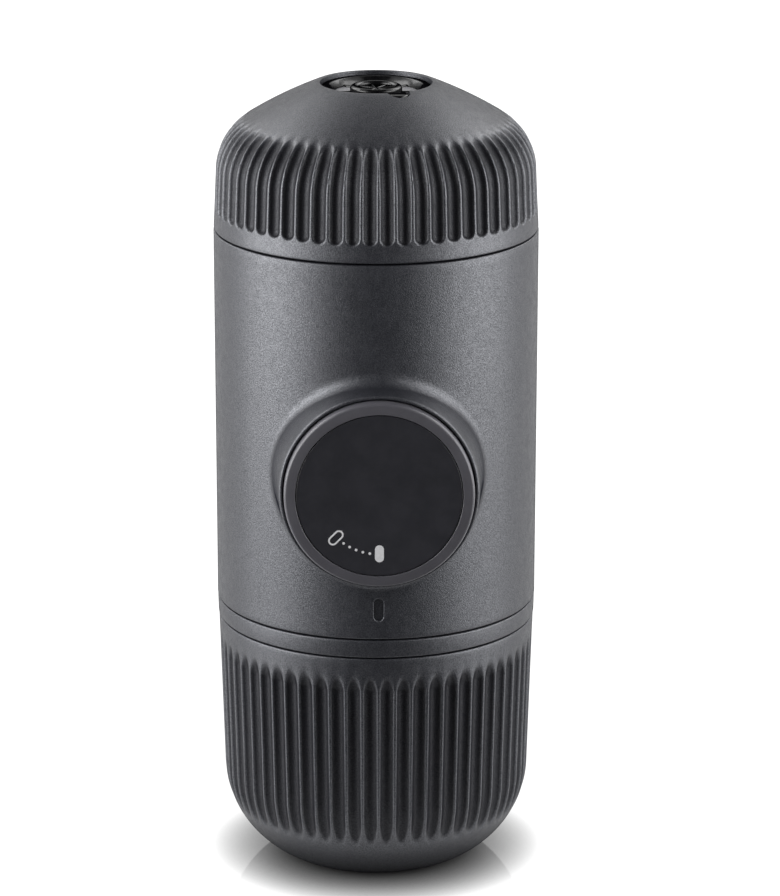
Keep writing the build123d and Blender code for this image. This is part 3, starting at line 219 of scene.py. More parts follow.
class Finish:
    """A procedural material: Principled surface with helpers for texture, tint and bump."""

    def __init__(self, name, tint, roughness, **inputs):
        self.material = bpy.data.materials.new(name)
        self.material.use_nodes = True
        self.nodes = self.material.node_tree.nodes
        self.links = self.material.node_tree.links
        self.shader = self.nodes["Principled BSDF"]
        self.shader.inputs["Base Color"].default_value = tint
        self.shader.inputs["Roughness"].default_value = roughness
        for key, value in inputs.items():
            self.shader.inputs[key.replace("_", " ")].default_value = value
        self.tint = tint
        self.roughness = roughness
        self.place = self.nodes.new("ShaderNodeTexCoord").outputs["Object"]
        self.height = None

    def stretched(self, scale):
        node = self.nodes.new("ShaderNodeMapping")
        node.inputs["Scale"].default_value = scale
        self.links.new(self.place, node.inputs["Vector"])
        return node.outputs["Vector"]

    def noise(self, grain, detail=3.0, rough=0.55, place=None):
        node = self.nodes.new("ShaderNodeTexNoise")
        node.inputs["Scale"].default_value = 1 / (grain * MM)
        node.inputs["Detail"].default_value = detail
        node.inputs["Roughness"].default_value = rough
        self.links.new(place or self.place, node.inputs["Vector"])
        return node.outputs["Fac"]

    def spread(self, value, low, high, start=0.35, end=0.65):
        node = self.nodes.new("ShaderNodeMapRange")
        node.inputs["From Min"].default_value = start
        node.inputs["From Max"].default_value = end
        node.inputs["To Min"].default_value = low
        node.inputs["To Max"].default_value = high
        self.links.new(value, node.inputs["Value"])
        return node.outputs["Result"]

    def vary_tint(self, value, darker, lighter):
        node = self.nodes.new("ShaderNodeMix")
        node.data_type = "RGBA"
        node.inputs["A"].default_value = tuple(c * darker for c in self.tint[:3]) + (1,)
        node.inputs["B"].default_value = tuple(min(c * lighter, 1) for c in self.tint[:3]) + (1,)
        self.links.new(value, node.inputs["Factor"])
        self.links.new(node.outputs["Result"], self.shader.inputs["Base Color"])
        self.tinted = node.outputs["Result"]

    def groove_shade_mask(self):
        """Mask of the shade painted into the flutes: 0 on the wall and on the crests of the flutes, 1 from
        a little way down their sides.
        """
        node = self.nodes.new("ShaderNodeAttribute")
        node.attribute_name = "sunk"
        return self.spread(node.outputs["Fac"], 0, 1, 0.09, 0.38)

    def paint_shade(self, where, tint):
        """Paint shade: mix the varied tint towards a darker one by the mask; vary_tint comes first."""
        node = self.nodes.new("ShaderNodeMix")
        node.data_type = "RGBA"
        node.inputs["B"].default_value = tint
        self.links.new(where, node.inputs["Factor"])
        self.links.new(self.tinted, node.inputs["A"])
        self.links.new(node.outputs["Result"], self.shader.inputs["Base Color"])

    def calculated(self, operation, first, second):
        """Result of a sum on a socket and either another socket or a number."""
        node = self.nodes.new("ShaderNodeMath")
        node.operation = operation
        self.links.new(first, node.inputs[0])
        if isinstance(second, float):
            node.inputs[1].default_value = second
        else:
            self.links.new(second, node.inputs[1])
        return node.outputs[0]

    def fade_gloss(self, level, start, end, *shares):
        """Less gloss at grazing angles, as on a rough moulding, times any further shares."""
        node = self.nodes.new("ShaderNodeLayerWeight")
        gloss = self.spread(node.outputs["Facing"], level, 0.0, start, end)
        for share in shares:
            gloss = self.calculated("MULTIPLY", gloss, share)
        self.links.new(gloss, self.shader.inputs["Specular IOR Level"])

    def vary_roughness(self, value, spread):
        self.links.new(self.spread(value, self.roughness - spread, self.roughness + spread),
                       self.shader.inputs["Roughness"])

    def bump(self, value, depth, strength=1.0):
        node = self.nodes.new("ShaderNodeBump")
        node.inputs["Distance"].default_value = depth * MM
        node.inputs["Strength"].default_value = strength
        self.links.new(value, node.inputs["Height"])
        if self.height:
            self.links.new(self.height, node.inputs["Normal"])
        self.height = node.outputs["Normal"]
        self.links.new(self.height, self.shader.inputs["Normal"])


def slate_plastic():
    """Satin dark grey moulding with a fine sandy grain, and shade painted into the flute grooves."""
    finish = Finish("slate_plastic", colour(42, 43, 48), 0.41, Specular_Tint=(0.93, 0.945, 1.0, 1))
    finish.shader.distribution = "GGX"
    finish.vary_tint(finish.spread(finish.noise(9.0), 0, 1), 0.93, 1.07)
    finish.vary_roughness(finish.noise(1.6), 0.04)
    # painted shade in the flute grooves: a darker tint and less gloss down their sides, by the groove depth
    flutes = finish.groove_shade_mask()
    finish.paint_shade(flutes, colour(34, 34, 38))
    sand = finish.noise(0.20, 1.0, 0.6)
    # the groove mask here takes gloss out of the grooves, as part of the painted shade
    finish.fade_gloss(1.0, 0.40, 0.95, finish.spread(flutes, 1.0, 0.28, 0, 1),
                      finish.spread(sand, 0.55, 1.45))
    finish.bump(finish.noise(0.7, 2.0), 0.012, 0.5)
    finish.bump(sand, 0.050, 1.0)
    return finish.material


def knob_plastic():
    finish = Finish("knob_plastic", colour(92, 91, 97), 0.36, Specular_IOR_Level=0.60)
    finish.vary_roughness(finish.noise(1.4), 0.05)
    finish.vary_tint(finish.spread(finish.noise(6.0), 0, 1), 0.94, 1.06)
    finish.bump(finish.noise(0.38, 3.0), 0.020, 0.5)
    return finish.material


def gloss_black():
    finish = Finish("gloss_black", colour(56, 56, 61), 0.16, Specular_IOR_Level=0.45, Coat_Weight=0.5,
                    Coat_Roughness=0.06)
    finish.vary_roughness(finish.noise(3.5, 5.0, 0.7), 0.04)
    finish.vary_tint(finish.spread(finish.noise(5.0), 0, 1), 0.9, 1.1)
    finish.bump(finish.noise(2.6), 0.004, 0.3)
    return finish.material


def nozzle_black():
    finish = Finish("nozzle_black", colour(13, 13, 15), 0.22)
    finish.fade_gloss(0.5, 0.35, 0.75)
    finish.vary_roughness(finish.noise(1.2, 4.0), 0.06)
    finish.vary_tint(finish.spread(finish.noise(3.0), 0, 1), 0.85, 1.15)
    finish.bump(finish.noise(0.8), 0.008, 0.4)
    return finish.material


def seat_grey():
    finish = Finish("seat_grey", colour(176, 176, 180), 0.35)
    finish.vary_roughness(finish.noise(0.8), 0.06)
    finish.vary_tint(finish.spread(finish.noise(1.5), 0, 1), 0.93, 1.04)
    finish.bump(finish.noise(0.4), 0.006, 0.4)
    return finish.material


def mark_white():
    finish = Finish("mark_white", colour(248, 248, 250), 0.40)
    finish.vary_tint(finish.spread(finish.noise(0.6), 0, 1), 0.94, 1.03)
    finish.bump(finish.noise(0.25), 0.006, 0.4)
    return finish.material


def steel(name, tint=(176, 176, 178), lines=(1, 1, 18), rough=0.28):
    finish = Finish(name, colour(*tint), rough, Metallic=1.0)
    streaks = finish.noise(0.9, 4.0, 0.6, finish.stretched(lines))
    finish.vary_roughness(streaks, 0.07)
    finish.vary_tint(finish.spread(finish.noise(4.0), 0, 1), 0.92, 1.05)
    finish.bump(streaks, 0.006, 0.5)
    return finish.material


def rubber(name, tint, rough=0.62):
    finish = Finish(name, colour(*tint), rough, Specular_IOR_Level=0.35)
    finish.vary_roughness(finish.noise(1.1), 0.06)
    finish.vary_tint(finish.spread(finish.noise(3.0), 0, 1), 0.9, 1.08)
    finish.bump(finish.noise(0.3, 3.0), 0.015, 0.5)
    return finish.material


def silicone():
    finish = Finish("silicone", colour(190, 192, 194), 0.48, Subsurface_Weight=0.15, Subsurface_Scale=0.001)
    finish.vary_roughness(finish.noise(1.5), 0.05)
    finish.vary_tint(finish.spread(finish.noise(3.0), 0, 1), 0.93, 1.04)
    finish.bump(finish.noise(0.5, 3.0), 0.01, 0.4)
    return finish.material


SLATE = slate_plastic()
KNOB = knob_plastic()
GLOSS = gloss_black()
NOZZLE = nozzle_black()
SEAT = seat_grey()
WHITE = mark_white()
STEEL = steel("steel")
WIRE = steel("spring_wire", (150, 150, 153), (6, 6, 6), 0.24)
RUBBER = rubber("black_rubber", (30, 30, 32))
SILICONE = silicone()
PUMP = rubber("pump_plastic", (52, 53, 56), 0.46)


# ---- flutes ----
def soft_floor(value, softness=0.15):
    """Zero below the surface and the value above, with a rounded bend between them."""
    return (value + hypot(value, softness)) / 2


def groove(depth, side, past_end):
    """Depth of a round-nosed groove at a point beside its middle and past the end of its run."""
    reach = FLUTE_ARC**2 - side**2 - past_end**2
    return soft_floor(depth - FLUTE_ARC + sqrt(reach)) if reach > 0 else 0.0


def head_wall_r(z):
    return HEAD_R + (HEAD_RIM_R - HEAD_R) * (SHOULDER_Z - z) / (SHOULDER_Z - HEAD_LOW)


def cup_wall_r(z):
    return CUP_R + (CUP_RIM_R - CUP_R) * (z - CUP_CURVE_Z) / (CUP_TOP - CUP_CURVE_Z)


def head_groove(r, z):
    """Depth in the middle of a head flute, and how far a point lies below the groove's foot."""
    if z < SHOULDER_Z:
        return r - head_wall_r(z) + FLUTE_DEPTH, max(HEAD_FOOT_Z - z, 0.0)
    turn = atan2(z - SHOULDER_Z, r - HEAD_R + SHOULDER_R)
    leave = radians(SHOULDER_TURN) - acos((SHOULDER_R - FLUTE_DEPTH) / SHOULDER_R)
    past = max(turn - leave, 0.0)
    return SHOULDER_R - (SHOULDER_R - FLUTE_DEPTH) / cos(past), 0.0


def cup_groove(r, z):
    """Depth in the middle of a cup flute: soft top, wall, run-out under the round bottom."""
    if z > CUP_CURVE_Z:
        return r - cup_wall_r(z) + FLUTE_DEPTH - max(z - CUP_SOFT_Z, 0.0) * CUP_SOFT_SLOPE, 0.0
    turn = atan2(CUP_CENTRE[1] - z, r - CUP_CENTRE[0])
    past = max(turn - CUP_TILT - CUP_FLUTE_TURN, 0.0)
    return CUP_CURVE_R - (CUP_CURVE_R - FLUTE_DEPTH) / cos(past), 0.0


def cut_flutes(bm, outline, wall, groove_at):
    """Press the flutes into the turned rows of an outline that belong to its fluted wall."""
    pitch = 2 * pi / FLUTES
    rows = bm.verts.layers.int["row"]
    sunk = bm.verts.layers.float.new("sunk")
    first = outline.index(wall[1])
    for v in bm.verts:
        row = v[rows]
        if not first <= row < first + len(wall) - 2:
            continue
        along = (Vector(outline[row + 1]) - Vector(outline[row - 1])).normalized()
        out = (along.y, -along.x)
        r, z = outline[row]
        place = (atan2(v.co.y, v.co.x) + pi / 2) / pitch - 0.5
        share = place - floor(place + 0.5)
        share += CREST_SHIFT * sin(2 * pi * share)
        turn = (floor(place + 0.5) + 0.5 + share) * pitch - pi / 2
        depth, past_end = groove_at(r, z)
        depth = groove(depth, r * share * pitch, past_end) if depth > -FLUTE_ARC else 0.0
        r, z = r - out[0] * depth, z - out[1] * depth
        v.co = (r * cos(turn), r * sin(turn), z)
        # the depth is also kept as the 'sunk' attribute, the mask of the shade painted into the grooves
        v[sunk] = depth


# ---- outlet head ----
def head_wall(offset, fine):
    """Outline of the dome from its rim up, offset inwards; fine adds the rows that flutes need."""
    rows = [128.05, 128.8, 129.6, 130.3, 130.8] + [131.0 + 0.16 * i for i in range(12)] + [133.3, 134.5]
    points = [(head_wall_r(z), z) for z in rows] if fine else [(HEAD_R - offset, 134.5)]
    points += run(points[-1], (HEAD_R - offset, SHOULDER_Z), 4 if fine else 1)
    radius = SHOULDER_R - offset
    points += arc((HEAD_R - SHOULDER_R, SHOULDER_Z), radius, 0, SHOULDER_TURN, 30 if fine else 12)[1:]
    end = radians(SHOULDER_TURN)
    centre = (HEAD_R - SHOULDER_R - (DOME_R - SHOULDER_R) * cos(end),
              SHOULDER_Z - (DOME_R - SHOULDER_R) * sin(end))
    last = degrees(asin((TOP - offset - centre[1]) / (DOME_R - offset)))
    points += arc(centre, DOME_R - offset, SHOULDER_TURN, last, 14 if fine else 6)[1:]
    return points


def head_moulding():
    outer = head_wall(0, True)
    inner = head_wall(HEAD_WALL, False)
    edge = outer[-1]
    lip = arc((HEAD_RIM_R - ROUND, HEAD_LOW + ROUND), ROUND, -90, -8, 4)[:-1]
    socket_r = HOLE_R + 1.8
    top = [(edge[0] - 0.15, TOP), (HOLE_R + 0.15, TOP), (HOLE_R + 0.04, TOP - 0.05), (HOLE_R, TOP - 0.2),
           (HOLE_R, SEAT_Z), (4.65, SEAT_Z), (4.65, SEAT_Z - 1.6), (socket_r, SEAT_Z - 1.6)]
    roof = [p for p in reversed(inner) if p[0] > socket_r + 0.3]
    inside = roof + [(HEAD_R - HEAD_WALL, 132.0), (HEAD_R - HEAD_WALL, HEAD_LOW + 0.1),
                     (HEAD_R - HEAD_WALL + 0.1, HEAD_LOW)]
    outline = lip + outer[:-1] + [(edge[0] + 0.1, TOP - 0.05)] + top + inside
    bm = turned_in_flutes(outline)
    cut_flutes(bm, outline, outer[:-1], head_groove)
    thing = as_object("head_moulding", closed_up(bm))
    return carve(thing, tab_shape(0.3, 1.2))


def pad_outline(length, half, clearance):
    """Plan of the pull tab: straight sides and a round end."""
    reach = length + clearance
    wide = half + clearance
    return [(0.0, -wide)] + arc((reach - wide, 0.0), wide, -90, 90, 16) + [(0.0, wide)]


def tab_shape(clearance=0.0, rise=0.0, edge=0.0):
    """Pull tab over the nozzle's rim, at its place; with clearance it is the notch in the head."""
    low, high = TAB_LOW - clearance, TAB_HIGH + rise
    bm = bmesh.new()
    plan = [bm.verts.new((TAB_START + x, y, low))
            for x, y in pad_outline(TAB_END - TAB_START, TAB_HALF, clearance)]
    face = bm.faces.new(plan)
    grown = bmesh.ops.extrude_face_region(bm, geom=[face])["geom"]
    bmesh.ops.translate(bm, vec=(0, 0, high - low), verts=new_verts(grown))
    bmesh.ops.recalc_face_normals(bm, faces=bm.faces)
    if edge:
        top = [e for e in bm.edges if all(v.co.z > high - 0.01 for v in e.verts)]
        bmesh.ops.bevel(bm, geom=top, offset=edge, segments=3, profile=0.5, affect="EDGES", material=-1)
    bmesh.ops.rotate(bm, cent=(0, 0, 0), matrix=Matrix.Rotation(TAB_TURN, 3, "Z"), verts=bm.verts)
    return bm


# ---- cup ----
def fluted_cup():
    base_turn = degrees(asin(CUP_CENTRE[1] / CUP_CURVE_R))
    outer = arc(CUP_CENTRE, CUP_CURVE_R, -base_turn, -degrees(CUP_TILT), 46)
    heights = [21.0, 26.0, 31.0, 36.0, 40.0, 41.5, 42.3] + [42.7 + 0.3 * i for i in range(13)]
    outer += [(cup_wall_r(z), z) for z in heights + [47.3, 48.4, CUP_TOP - ROUND]]
    lip = arc((CUP_RIM_R - ROUND - 0.01, CUP_TOP - ROUND), ROUND, 2, 90, 4)[1:]
    inner_r, inner_curve = CUP_R - CUP_WALL, CUP_CURVE_R - CUP_WALL
    inside = [(inner_r + 0.25, CUP_TOP), (inner_r + 0.07, CUP_TOP - 0.07), (inner_r, CUP_TOP - 0.25),
              (inner_r, 40.0)]
    inner_turn = degrees(asin((CUP_CENTRE[1] - CUP_FLOOR) / inner_curve))
    inside += arc((inner_r - inner_curve, CUP_CENTRE[1]), inner_curve, 0, -inner_turn, 14)
    outline = [(0.0, 0.35), (13.6, 0.35), (14.0, 0.0), (outer[0][0] - 0.3, 0.0)] + outer + lip + inside
    outline += [(inside[-1][0] * 0.5, CUP_FLOOR), (0.0, CUP_FLOOR)]
    bm = turned_in_flutes(outline, closed=False)
    cut_flutes(bm, outline, outer, cup_groove)
    return as_object("fluted_cup", closed_up(bm))


# ---- main body ----
SPOKES = 240
SIDE = radians(85)


def wall_radius(z, inside):
    if inside:
        return BODY_INNER_R
    return BODY_LOW_R + (BODY_TOP_R - BODY_LOW_R) * (z - BODY_LOW) / (BODY_TOP - BODY_LOW)


def wall_front(ray, turn, inside=False):
    """How far in front of the bottle's axis the plain wall lies, on a ray from the knob's axis."""
    x, z = ray * cos(turn), KNOB_Z + ray * sin(turn)
    return sqrt(wall_radius(z, inside) ** 2 - x**2)


def nearest_on_wall(point, turn):
    """Ray of the wall's point next to a point of this half-plane, and their distance."""
    low, high = BOSS_RIM_R, 28.5
    def gap(ray):
        return hypot(ray - point[0], wall_front(ray, turn) - point[1])

    for _ in range(40):
        a, b = low + (high - low) / 3, high - (high - low) / 3
        if gap(a) < gap(b):
            high = b
        else:
            low = a
    return low, gap(low)


def boss_side(turn):
    """(ray, front) points from the bore's mouth over the boss's edge and down its blend to the wall."""
    edge = 0.45
    reach = edge * tan((pi / 2 - BOSS_DRAFT) / 2)
    points = [(BORE_R, BOSS_FRONT - 0.30), (BORE_R + 0.02, BOSS_FRONT - 0.07), (BORE_R + 0.08, BOSS_FRONT)]
    centre = (BOSS_RIM_R - reach, BOSS_FRONT - edge)
    points += arc(centre, edge, 90, degrees(BOSS_DRAFT), 6)
    out = (cos(BOSS_DRAFT), sin(BOSS_DRAFT))
    low, high = 0.0, 22.0
    for _ in range(30):
        back = (low + high) / 2
        foot = (BOSS_RIM_R + back * tan(BOSS_DRAFT), BOSS_FRONT - back)
        centre = (foot[0] + BOSS_BLEND * out[0], foot[1] + BOSS_BLEND * out[1])
        ray, gap = nearest_on_wall(centre, turn)
        if gap > BOSS_BLEND and centre[1] > wall_front(centre[0], turn):
            low = back
        else:
            high = back
    start = points[-1]
    points += run(start, foot, 5)[:-1]
    first = atan2(foot[1] - centre[1], foot[0] - centre[0]) % (2 * pi)
    last = atan2(wall_front(ray, turn) - centre[1], ray - centre[0]) % (2 * pi)
    points += arc(centre, BOSS_BLEND, degrees(first), degrees(last), 12)
    return points


def rim_point(turn, low, high):
    """Where a spoke leaves the front panel, as (angle round the bottle, height)."""
    across, up = cos(turn), sin(turn)
    half = SIDE * BODY_TOP_R
    reach = [half / abs(across)] if abs(across) > 1e-6 else []
    if up > 1e-6:
        reach.append((high - KNOB_Z) / up)
    if up < -1e-6:
        reach.append((KNOB_Z - low) / -up)
    reach = min(reach)
    return reach * across / BODY_TOP_R, KNOB_Z + reach * up


def spoke_turns(low, high):
    """Spokes round the knob, with one exactly through each corner of the front panel."""
    half = SIDE * BODY_TOP_R
    corners = [atan2(z - KNOB_Z, x) for z in (low, high) for x in (-half, half)]
    turns = [2 * pi * i / SPOKES for i in range(SPOKES)]
    ends = list(turns)
    for corner in corners:
        corner %= 2 * pi
        ends[round(corner / (2 * pi) * SPOKES) % SPOKES] = corner
    return turns, ends


def skin(bm, low, high, inside):
    """Add one skin of the body, from the knob's bore out to its top and bottom rims and round the back."""
    turns, ends = spoke_turns(low, high)
    columns = []
    for turn, end in zip(turns, ends):
        if inside:
            front = wall_front(TUBE_R, turn, True)
            side = [(BORE_R, TUBE_BACK + 0.2), (BORE_R + 0.2, TUBE_BACK), (TUBE_R, TUBE_BACK)]
            side += run((TUBE_R, TUBE_BACK), (TUBE_R, max(front, TUBE_BACK + 0.4)), 3)
        else:
            side = boss_side(turn)
        column = [(ray * cos(turn), -front, KNOB_Z + ray * sin(turn)) for ray, front in side]
        x, y, z = column[-1]
        start = (atan2(x, -y), z)
        goal = rim_point(end, low, high)
        steps = 16
        for i in range(1, steps + 1):
            share = i / steps
            around = start[0] + (goal[0] - start[0]) * share
            z = start[1] + (goal[1] - start[1]) * share
            r = wall_radius(z, inside)
            column.append((r * sin(around), -r * cos(around), z))
        columns.append(column)
    rings = []
    start = bmesh.ops.create_circle(bm, segments=SPOKES, radius=1.0)["verts"]
    ring = sorted(start, key=lambda v: atan2(v.co.y, v.co.x) % (2 * pi))
    rings.append(ring)
    for row in range(1, len(columns[0])):
        edges = [bm.edges.get((ring[i - 1], ring[i])) for i in range(SPOKES)]
        grown = bmesh.ops.extrude_edge_only(bm, edges=edges)["geom"]
        new = new_verts(grown)
        follow = {}
        for v in new:
            for e in v.link_edges:
                other = e.other_vert(v)
                if other not in new:
                    follow[other] = v
        ring = [follow[v] for v in ring]
        rings.append(ring)
    for row, ring in enumerate(rings):
        for i, v in enumerate(ring):
            v.co = columns[i][row]
    outer = rings[-1]
    side_edges = [bm.edges.get((outer[i - 1], outer[i])) for i in range(SPOKES)
                  if outer[i].co.x > 1 and outer[i - 1].co.x > 1
                  and abs(atan2(outer[i].co.x, -outer[i].co.y) - SIDE) < 1e-4
                  and abs(atan2(outer[i - 1].co.x, -outer[i - 1].co.y) - SIDE) < 1e-4]
    side_verts = list({v for e in side_edges for v in e.verts})
    bmesh.ops.spin(bm, geom=side_verts + side_edges, cent=(0, 0, 0), axis=(0, 0, 1),
                   angle=2 * pi - 2 * SIDE, steps=84)
    bmesh.ops.remove_doubles(bm, verts=bm.verts, dist=2e-3)


def open_loop(bm, z):
    """Edges of the open rim at this height."""
    return [e for e in bm.edges if e.is_boundary and all(abs(v.co.z - z) < 1e-3 for v in e.verts)]


def grow_rim(bm, edges, steps):
    """Extrude a rim through a list of (radius change, z) places; returns its last edges."""
    for change, z in steps:
        grown = bmesh.ops.extrude_edge_only(bm, edges=edges)["geom"]
        edges = [g for g in grown if isinstance(g, bmesh.types.BMEdge)]
        for v in new_verts(grown):
            r = hypot(v.co.x, v.co.y)
            v.co.x *= (r + change) / r
            v.co.y *= (r + change) / r
            v.co.z = z
    return edges


def body_casing():
    bm = bmesh.new()
    skin(bm, BODY_LOW + ROUND, BODY_TOP - ROUND, False)
    bend = [(ROUND * (1 - cos(radians(a))), ROUND * sin(radians(a))) for a in (0, 22.5, 45, 67.5, 90)]
    moves = [(-(b[0] - a[0]), b[1]) for a, b in zip(bend, bend[1:])]
    grow_rim(bm, open_loop(bm, BODY_TOP - ROUND), [(m, BODY_TOP - ROUND + h) for m, h in moves])
    grow_rim(bm, open_loop(bm, BODY_LOW + ROUND), [(m, BODY_LOW + ROUND - h) for m, h in moves])
    inner = bmesh.new()
    skin(inner, BODY_LOW, BODY_TOP, True)
    mesh = bpy.data.meshes.new("inner")
    inner.to_mesh(mesh)
    inner.free()
    bm.from_mesh(mesh)
    bpy.data.meshes.remove(mesh)
    for z in (BODY_TOP, BODY_LOW):
        bmesh.ops.bridge_loops(bm, edges=open_loop(bm, z))
    bore = [e for e in bm.edges if e.is_boundary]
    bmesh.ops.bridge_loops(bm, edges=bore)
    thing = as_object("body_casing", closed_up(bm), sharp=50)
    return carve(thing, marker_slot())


def pill_plan(half, straight):
    """Plan of a pill, long in its second direction: half its width and half its straight run."""
    upper = [(x, y + straight) for x, y in arc((0, 0), half, 0, 180, 14)]
    return upper + [(x, y - straight) for x, y in arc((0, 0), half, 180, 360, 14)]


def marker_slot():
    """Cutter for the slot under the knob; its lip is soft."""
    depths = [(0.0, 0.50), (0.0, 0.24), (0.03, 0.13), (0.09, 0.05), (0.20, 0.0), (0.45, -0.1), (0.45, -2.0)]
    loops = [[(x, -BODY_LOW_R + depth, SLOT_Z + y) for x, y in pill_plan(SLOT_HALF + grow, SLOT_STRAIGHT)]
             for grow, depth in depths]
    bm = bmesh.new()
    rings = [[bm.verts.new(place) for place in loop] for loop in loops]
    count = len(rings[0])
    for lower, upper in zip(rings, rings[1:]):
        for i in range(count):
            bm.faces.new((lower[i - 1], lower[i], upper[i], upper[i - 1]))
    bm.faces.new(rings[0])
    bm.faces.new(rings[-1])
    bmesh.ops.recalc_face_normals(bm, faces=bm.faces)
    return bm


# ---- water tank ----
def tank_bowl():
    """Bowl with the plain collar that shows between two seams, and the groove of the cup's ring."""
    collar = rounded([(TANK_R, COLLAR_LOW), (31.2, COLLAR_LOW), (31.32, COLLAR_TOP),
                      (TANK_INNER_R, COLLAR_TOP)], {1: ROUND, 2: ROUND, 3: 0.15}, 4)
    wall = [(TANK_INNER_R, 40.0)] + arc((TANK_INNER_R - 12.5, TANK_CURVE_Z), 12.5, 0, -90, 14)
    wall += [(6.0, TANK_FLOOR), (0.0, TANK_FLOOR), (0.0, TANK_LOW), (6.0, TANK_LOW)]
    wall += arc((TANK_R - 14.0, TANK_CURVE_Z), 14.0, -90, 0, 16)
    low, high, ring_r = RING_Z - RING_HALF, RING_Z + RING_HALF, TANK_R - RING_DEPTH
    wall += [(TANK_R, low), (ring_r, low), (ring_r, high), (TANK_R, high)]
    return as_object("tank_bowl", closed_up(turned(collar + wall, 192)))


# ---- knob ----
MARK_THICKNESS, MARKS_R = 0.10, 11.5
LOCKED_CLOCK, UNLOCKED_CLOCK = 6.0, 7.5
DOTS, DOT_R = 5, 0.26


def knob_body():
    """Outlines are (radius, distance in front of the bottle's axis)."""
    outline = [(0.0, DISC_BACK), (DISC_R + 0.15, DISC_BACK), (DISC_R + 0.15, KNOB_FRONT),
               (KNOB_R, KNOB_RIM_FRONT), (KNOB_R, KNOB_BACK), (KNOB_INNER_R, KNOB_BACK),
               (KNOB_INNER_R, 36.35), (5.0, 36.35), (5.0, 31.35), (3.05, 31.35), (3.05, 36.6), (0.0, 36.6)]
    outline = rounded(outline, {2: 0.10, 3: 0.60, 4: 0.15, 5: 0.15}, 6)
    bm = turned(outline, 200, closed=False)
    return as_object("knob_body", closed_up(onto_knob(bm)))


def dish_front(r):
    """How far in front of the bottle's axis the dished disc lies, at a radius."""
    big = (DISC_R**2 + DISC_DISH**2) / (2 * DISC_DISH)
    return DISC_FRONT - DISC_DISH + big - sqrt(big**2 - r**2)


def knob_disc():
    rows = [0.0, 1.0, 2.0, 3.5, 5.0, 6.5, 8.0, 9.5, 11.0, 12.5, 13.6, 14.6, 15.3]
    dish = [(r, dish_front(r)) for r in rows]
    rim = [(15.56, 39.845), (15.64, 39.82), (DISC_R, 39.74), (DISC_R, DISC_BACK), (0.0, DISC_BACK)]
    return as_object("knob_disc", closed_up(onto_knob(turned(dish + rim, 180, closed=False))))


def pill(bm, long, wide, hollow=0.0):
    """Flat pill in the XY plane, long in Y; hollow leaves a frame of that width."""
    straight = (long - wide) / 2
    outer = [bm.verts.new((x, y, 0)) for x, y in pill_plan(wide / 2, straight)]
    if not hollow:
        bm.faces.new(outer)
        return bm
    inner = [bm.verts.new((x, y, 0)) for x, y in pill_plan(wide / 2 - hollow, straight)]
    for i in range(len(outer)):
        bm.faces.new((outer[i - 1], outer[i], inner[i], inner[i - 1]))
    return bm


def place_mark(bm, clock, radius):
    """Raise a flat mark by its thickness and set it on the dished disc at a clock place."""
    grown = bmesh.ops.extrude_face_region(bm, geom=list(bm.faces))["geom"]
    bmesh.ops.translate(bm, vec=(0, 0, MARK_THICKNESS), verts=new_verts(grown))
    bmesh.ops.recalc_face_normals(bm, faces=bm.faces)
    turn = radians(90 - clock * 30)
    bmesh.ops.rotate(bm, cent=(0, 0, 0), matrix=Matrix.Rotation(turn - pi / 2, 3, "Z"), verts=bm.verts)
    place = (radius * cos(turn), radius * sin(turn), -MARK_THICKNESS / 2)
    bmesh.ops.translate(bm, vec=place, verts=bm.verts)
    for v in bm.verts:
        v.co.z += dish_front(hypot(v.co.x, v.co.y))
    return bm


def marks():
    """Locked, unlocked and the dots between them, as thin printed pads on the disc."""
    made = []
    bm = place_mark(pill(bmesh.new(), 3.3, 1.7), LOCKED_CLOCK, MARKS_R - 0.1)
    made.append(as_object("mark_locked", onto_knob(bm)))
    bm = place_mark(pill(bmesh.new(), 3.4, 1.8, 0.32), UNLOCKED_CLOCK, MARKS_R + 0.1)
    made.append(as_object("mark_unlocked", onto_knob(bm)))
    for i in range(DOTS):
        bm = bmesh.new()
        bmesh.ops.create_circle(bm, cap_ends=True, segments=16, radius=DOT_R)
        share = (i + 1.35) / (DOTS + 1.7)
        bm = place_mark(bm, LOCKED_CLOCK + (UNLOCKED_CLOCK - LOCKED_CLOCK) * share, MARKS_R)
        made.append(as_object(f"mark_dot_{i + 1}", onto_knob(bm)))
    return made


# ---- nozzle ----
BAR_HEIGHT = 2.5


def nozzle_insert():
    """Bowl with a black rim, a round hub on spokes and a star of vanes in the hub."""
    floor_z, top, hub_r, hub_inner_r = 151.4, 155.3, 5.0, 3.7
    bowl = rounded([(1.5, 147.6), (2.7, 147.6), (2.7, SEAT_Z), (10.5, SEAT_Z), (10.5, top), (9.1, top),
                    (8.3, top - 1.5), (8.3, floor_z), (1.5, floor_z)], {4: 0.3, 5: 0.28, 8: 0.25}, 4)
    bm = closed_up(turned(bowl, 144))
    hub = rounded([(hub_inner_r, floor_z - 0.3), (hub_r, floor_z - 0.3), (hub_r, top + 0.1),
                   (hub_inner_r, top + 0.1)], {2: 0.62, 3: 0.62}, 6)
    spun(bm, hub, 96)
    for i in range(8):
        add(bm, bar(4.5, 8.7, 0.9, 154.2, i * 45.0))
        add(bm, bar(0.3, 4.0, 0.5, 154.9, i * 45.0 + 12.0))
    add(bm, tab_shape(edge=0.35))
    return as_object("nozzle_insert", closed_up(bm))


def bar(start, end, wide, high, turn):
    """Spoke or vane from one radius to another, with rounded upper edges."""
    bm = bmesh.new()
    bmesh.ops.create_cube(bm, size=1.0)
    bmesh.ops.scale(bm, vec=(end - start, wide, BAR_HEIGHT), verts=bm.verts)
    long = [e for e in bm.edges
            if all(v.co.z > 0 for v in e.verts) and abs(e.verts[0].co.x - e.verts[1].co.x) > 1]
    bmesh.ops.bevel(bm, geom=long, offset=wide / 3, segments=3, profile=0.5, affect="EDGES", material=-1)
    bmesh.ops.translate(bm, vec=((start + end) / 2, 0, high - BAR_HEIGHT / 2), verts=bm.verts)
    bmesh.ops.rotate(bm, cent=(0, 0, 0), matrix=Matrix.Rotation(radians(turn), 3, "Z"), verts=bm.verts)
    return bm


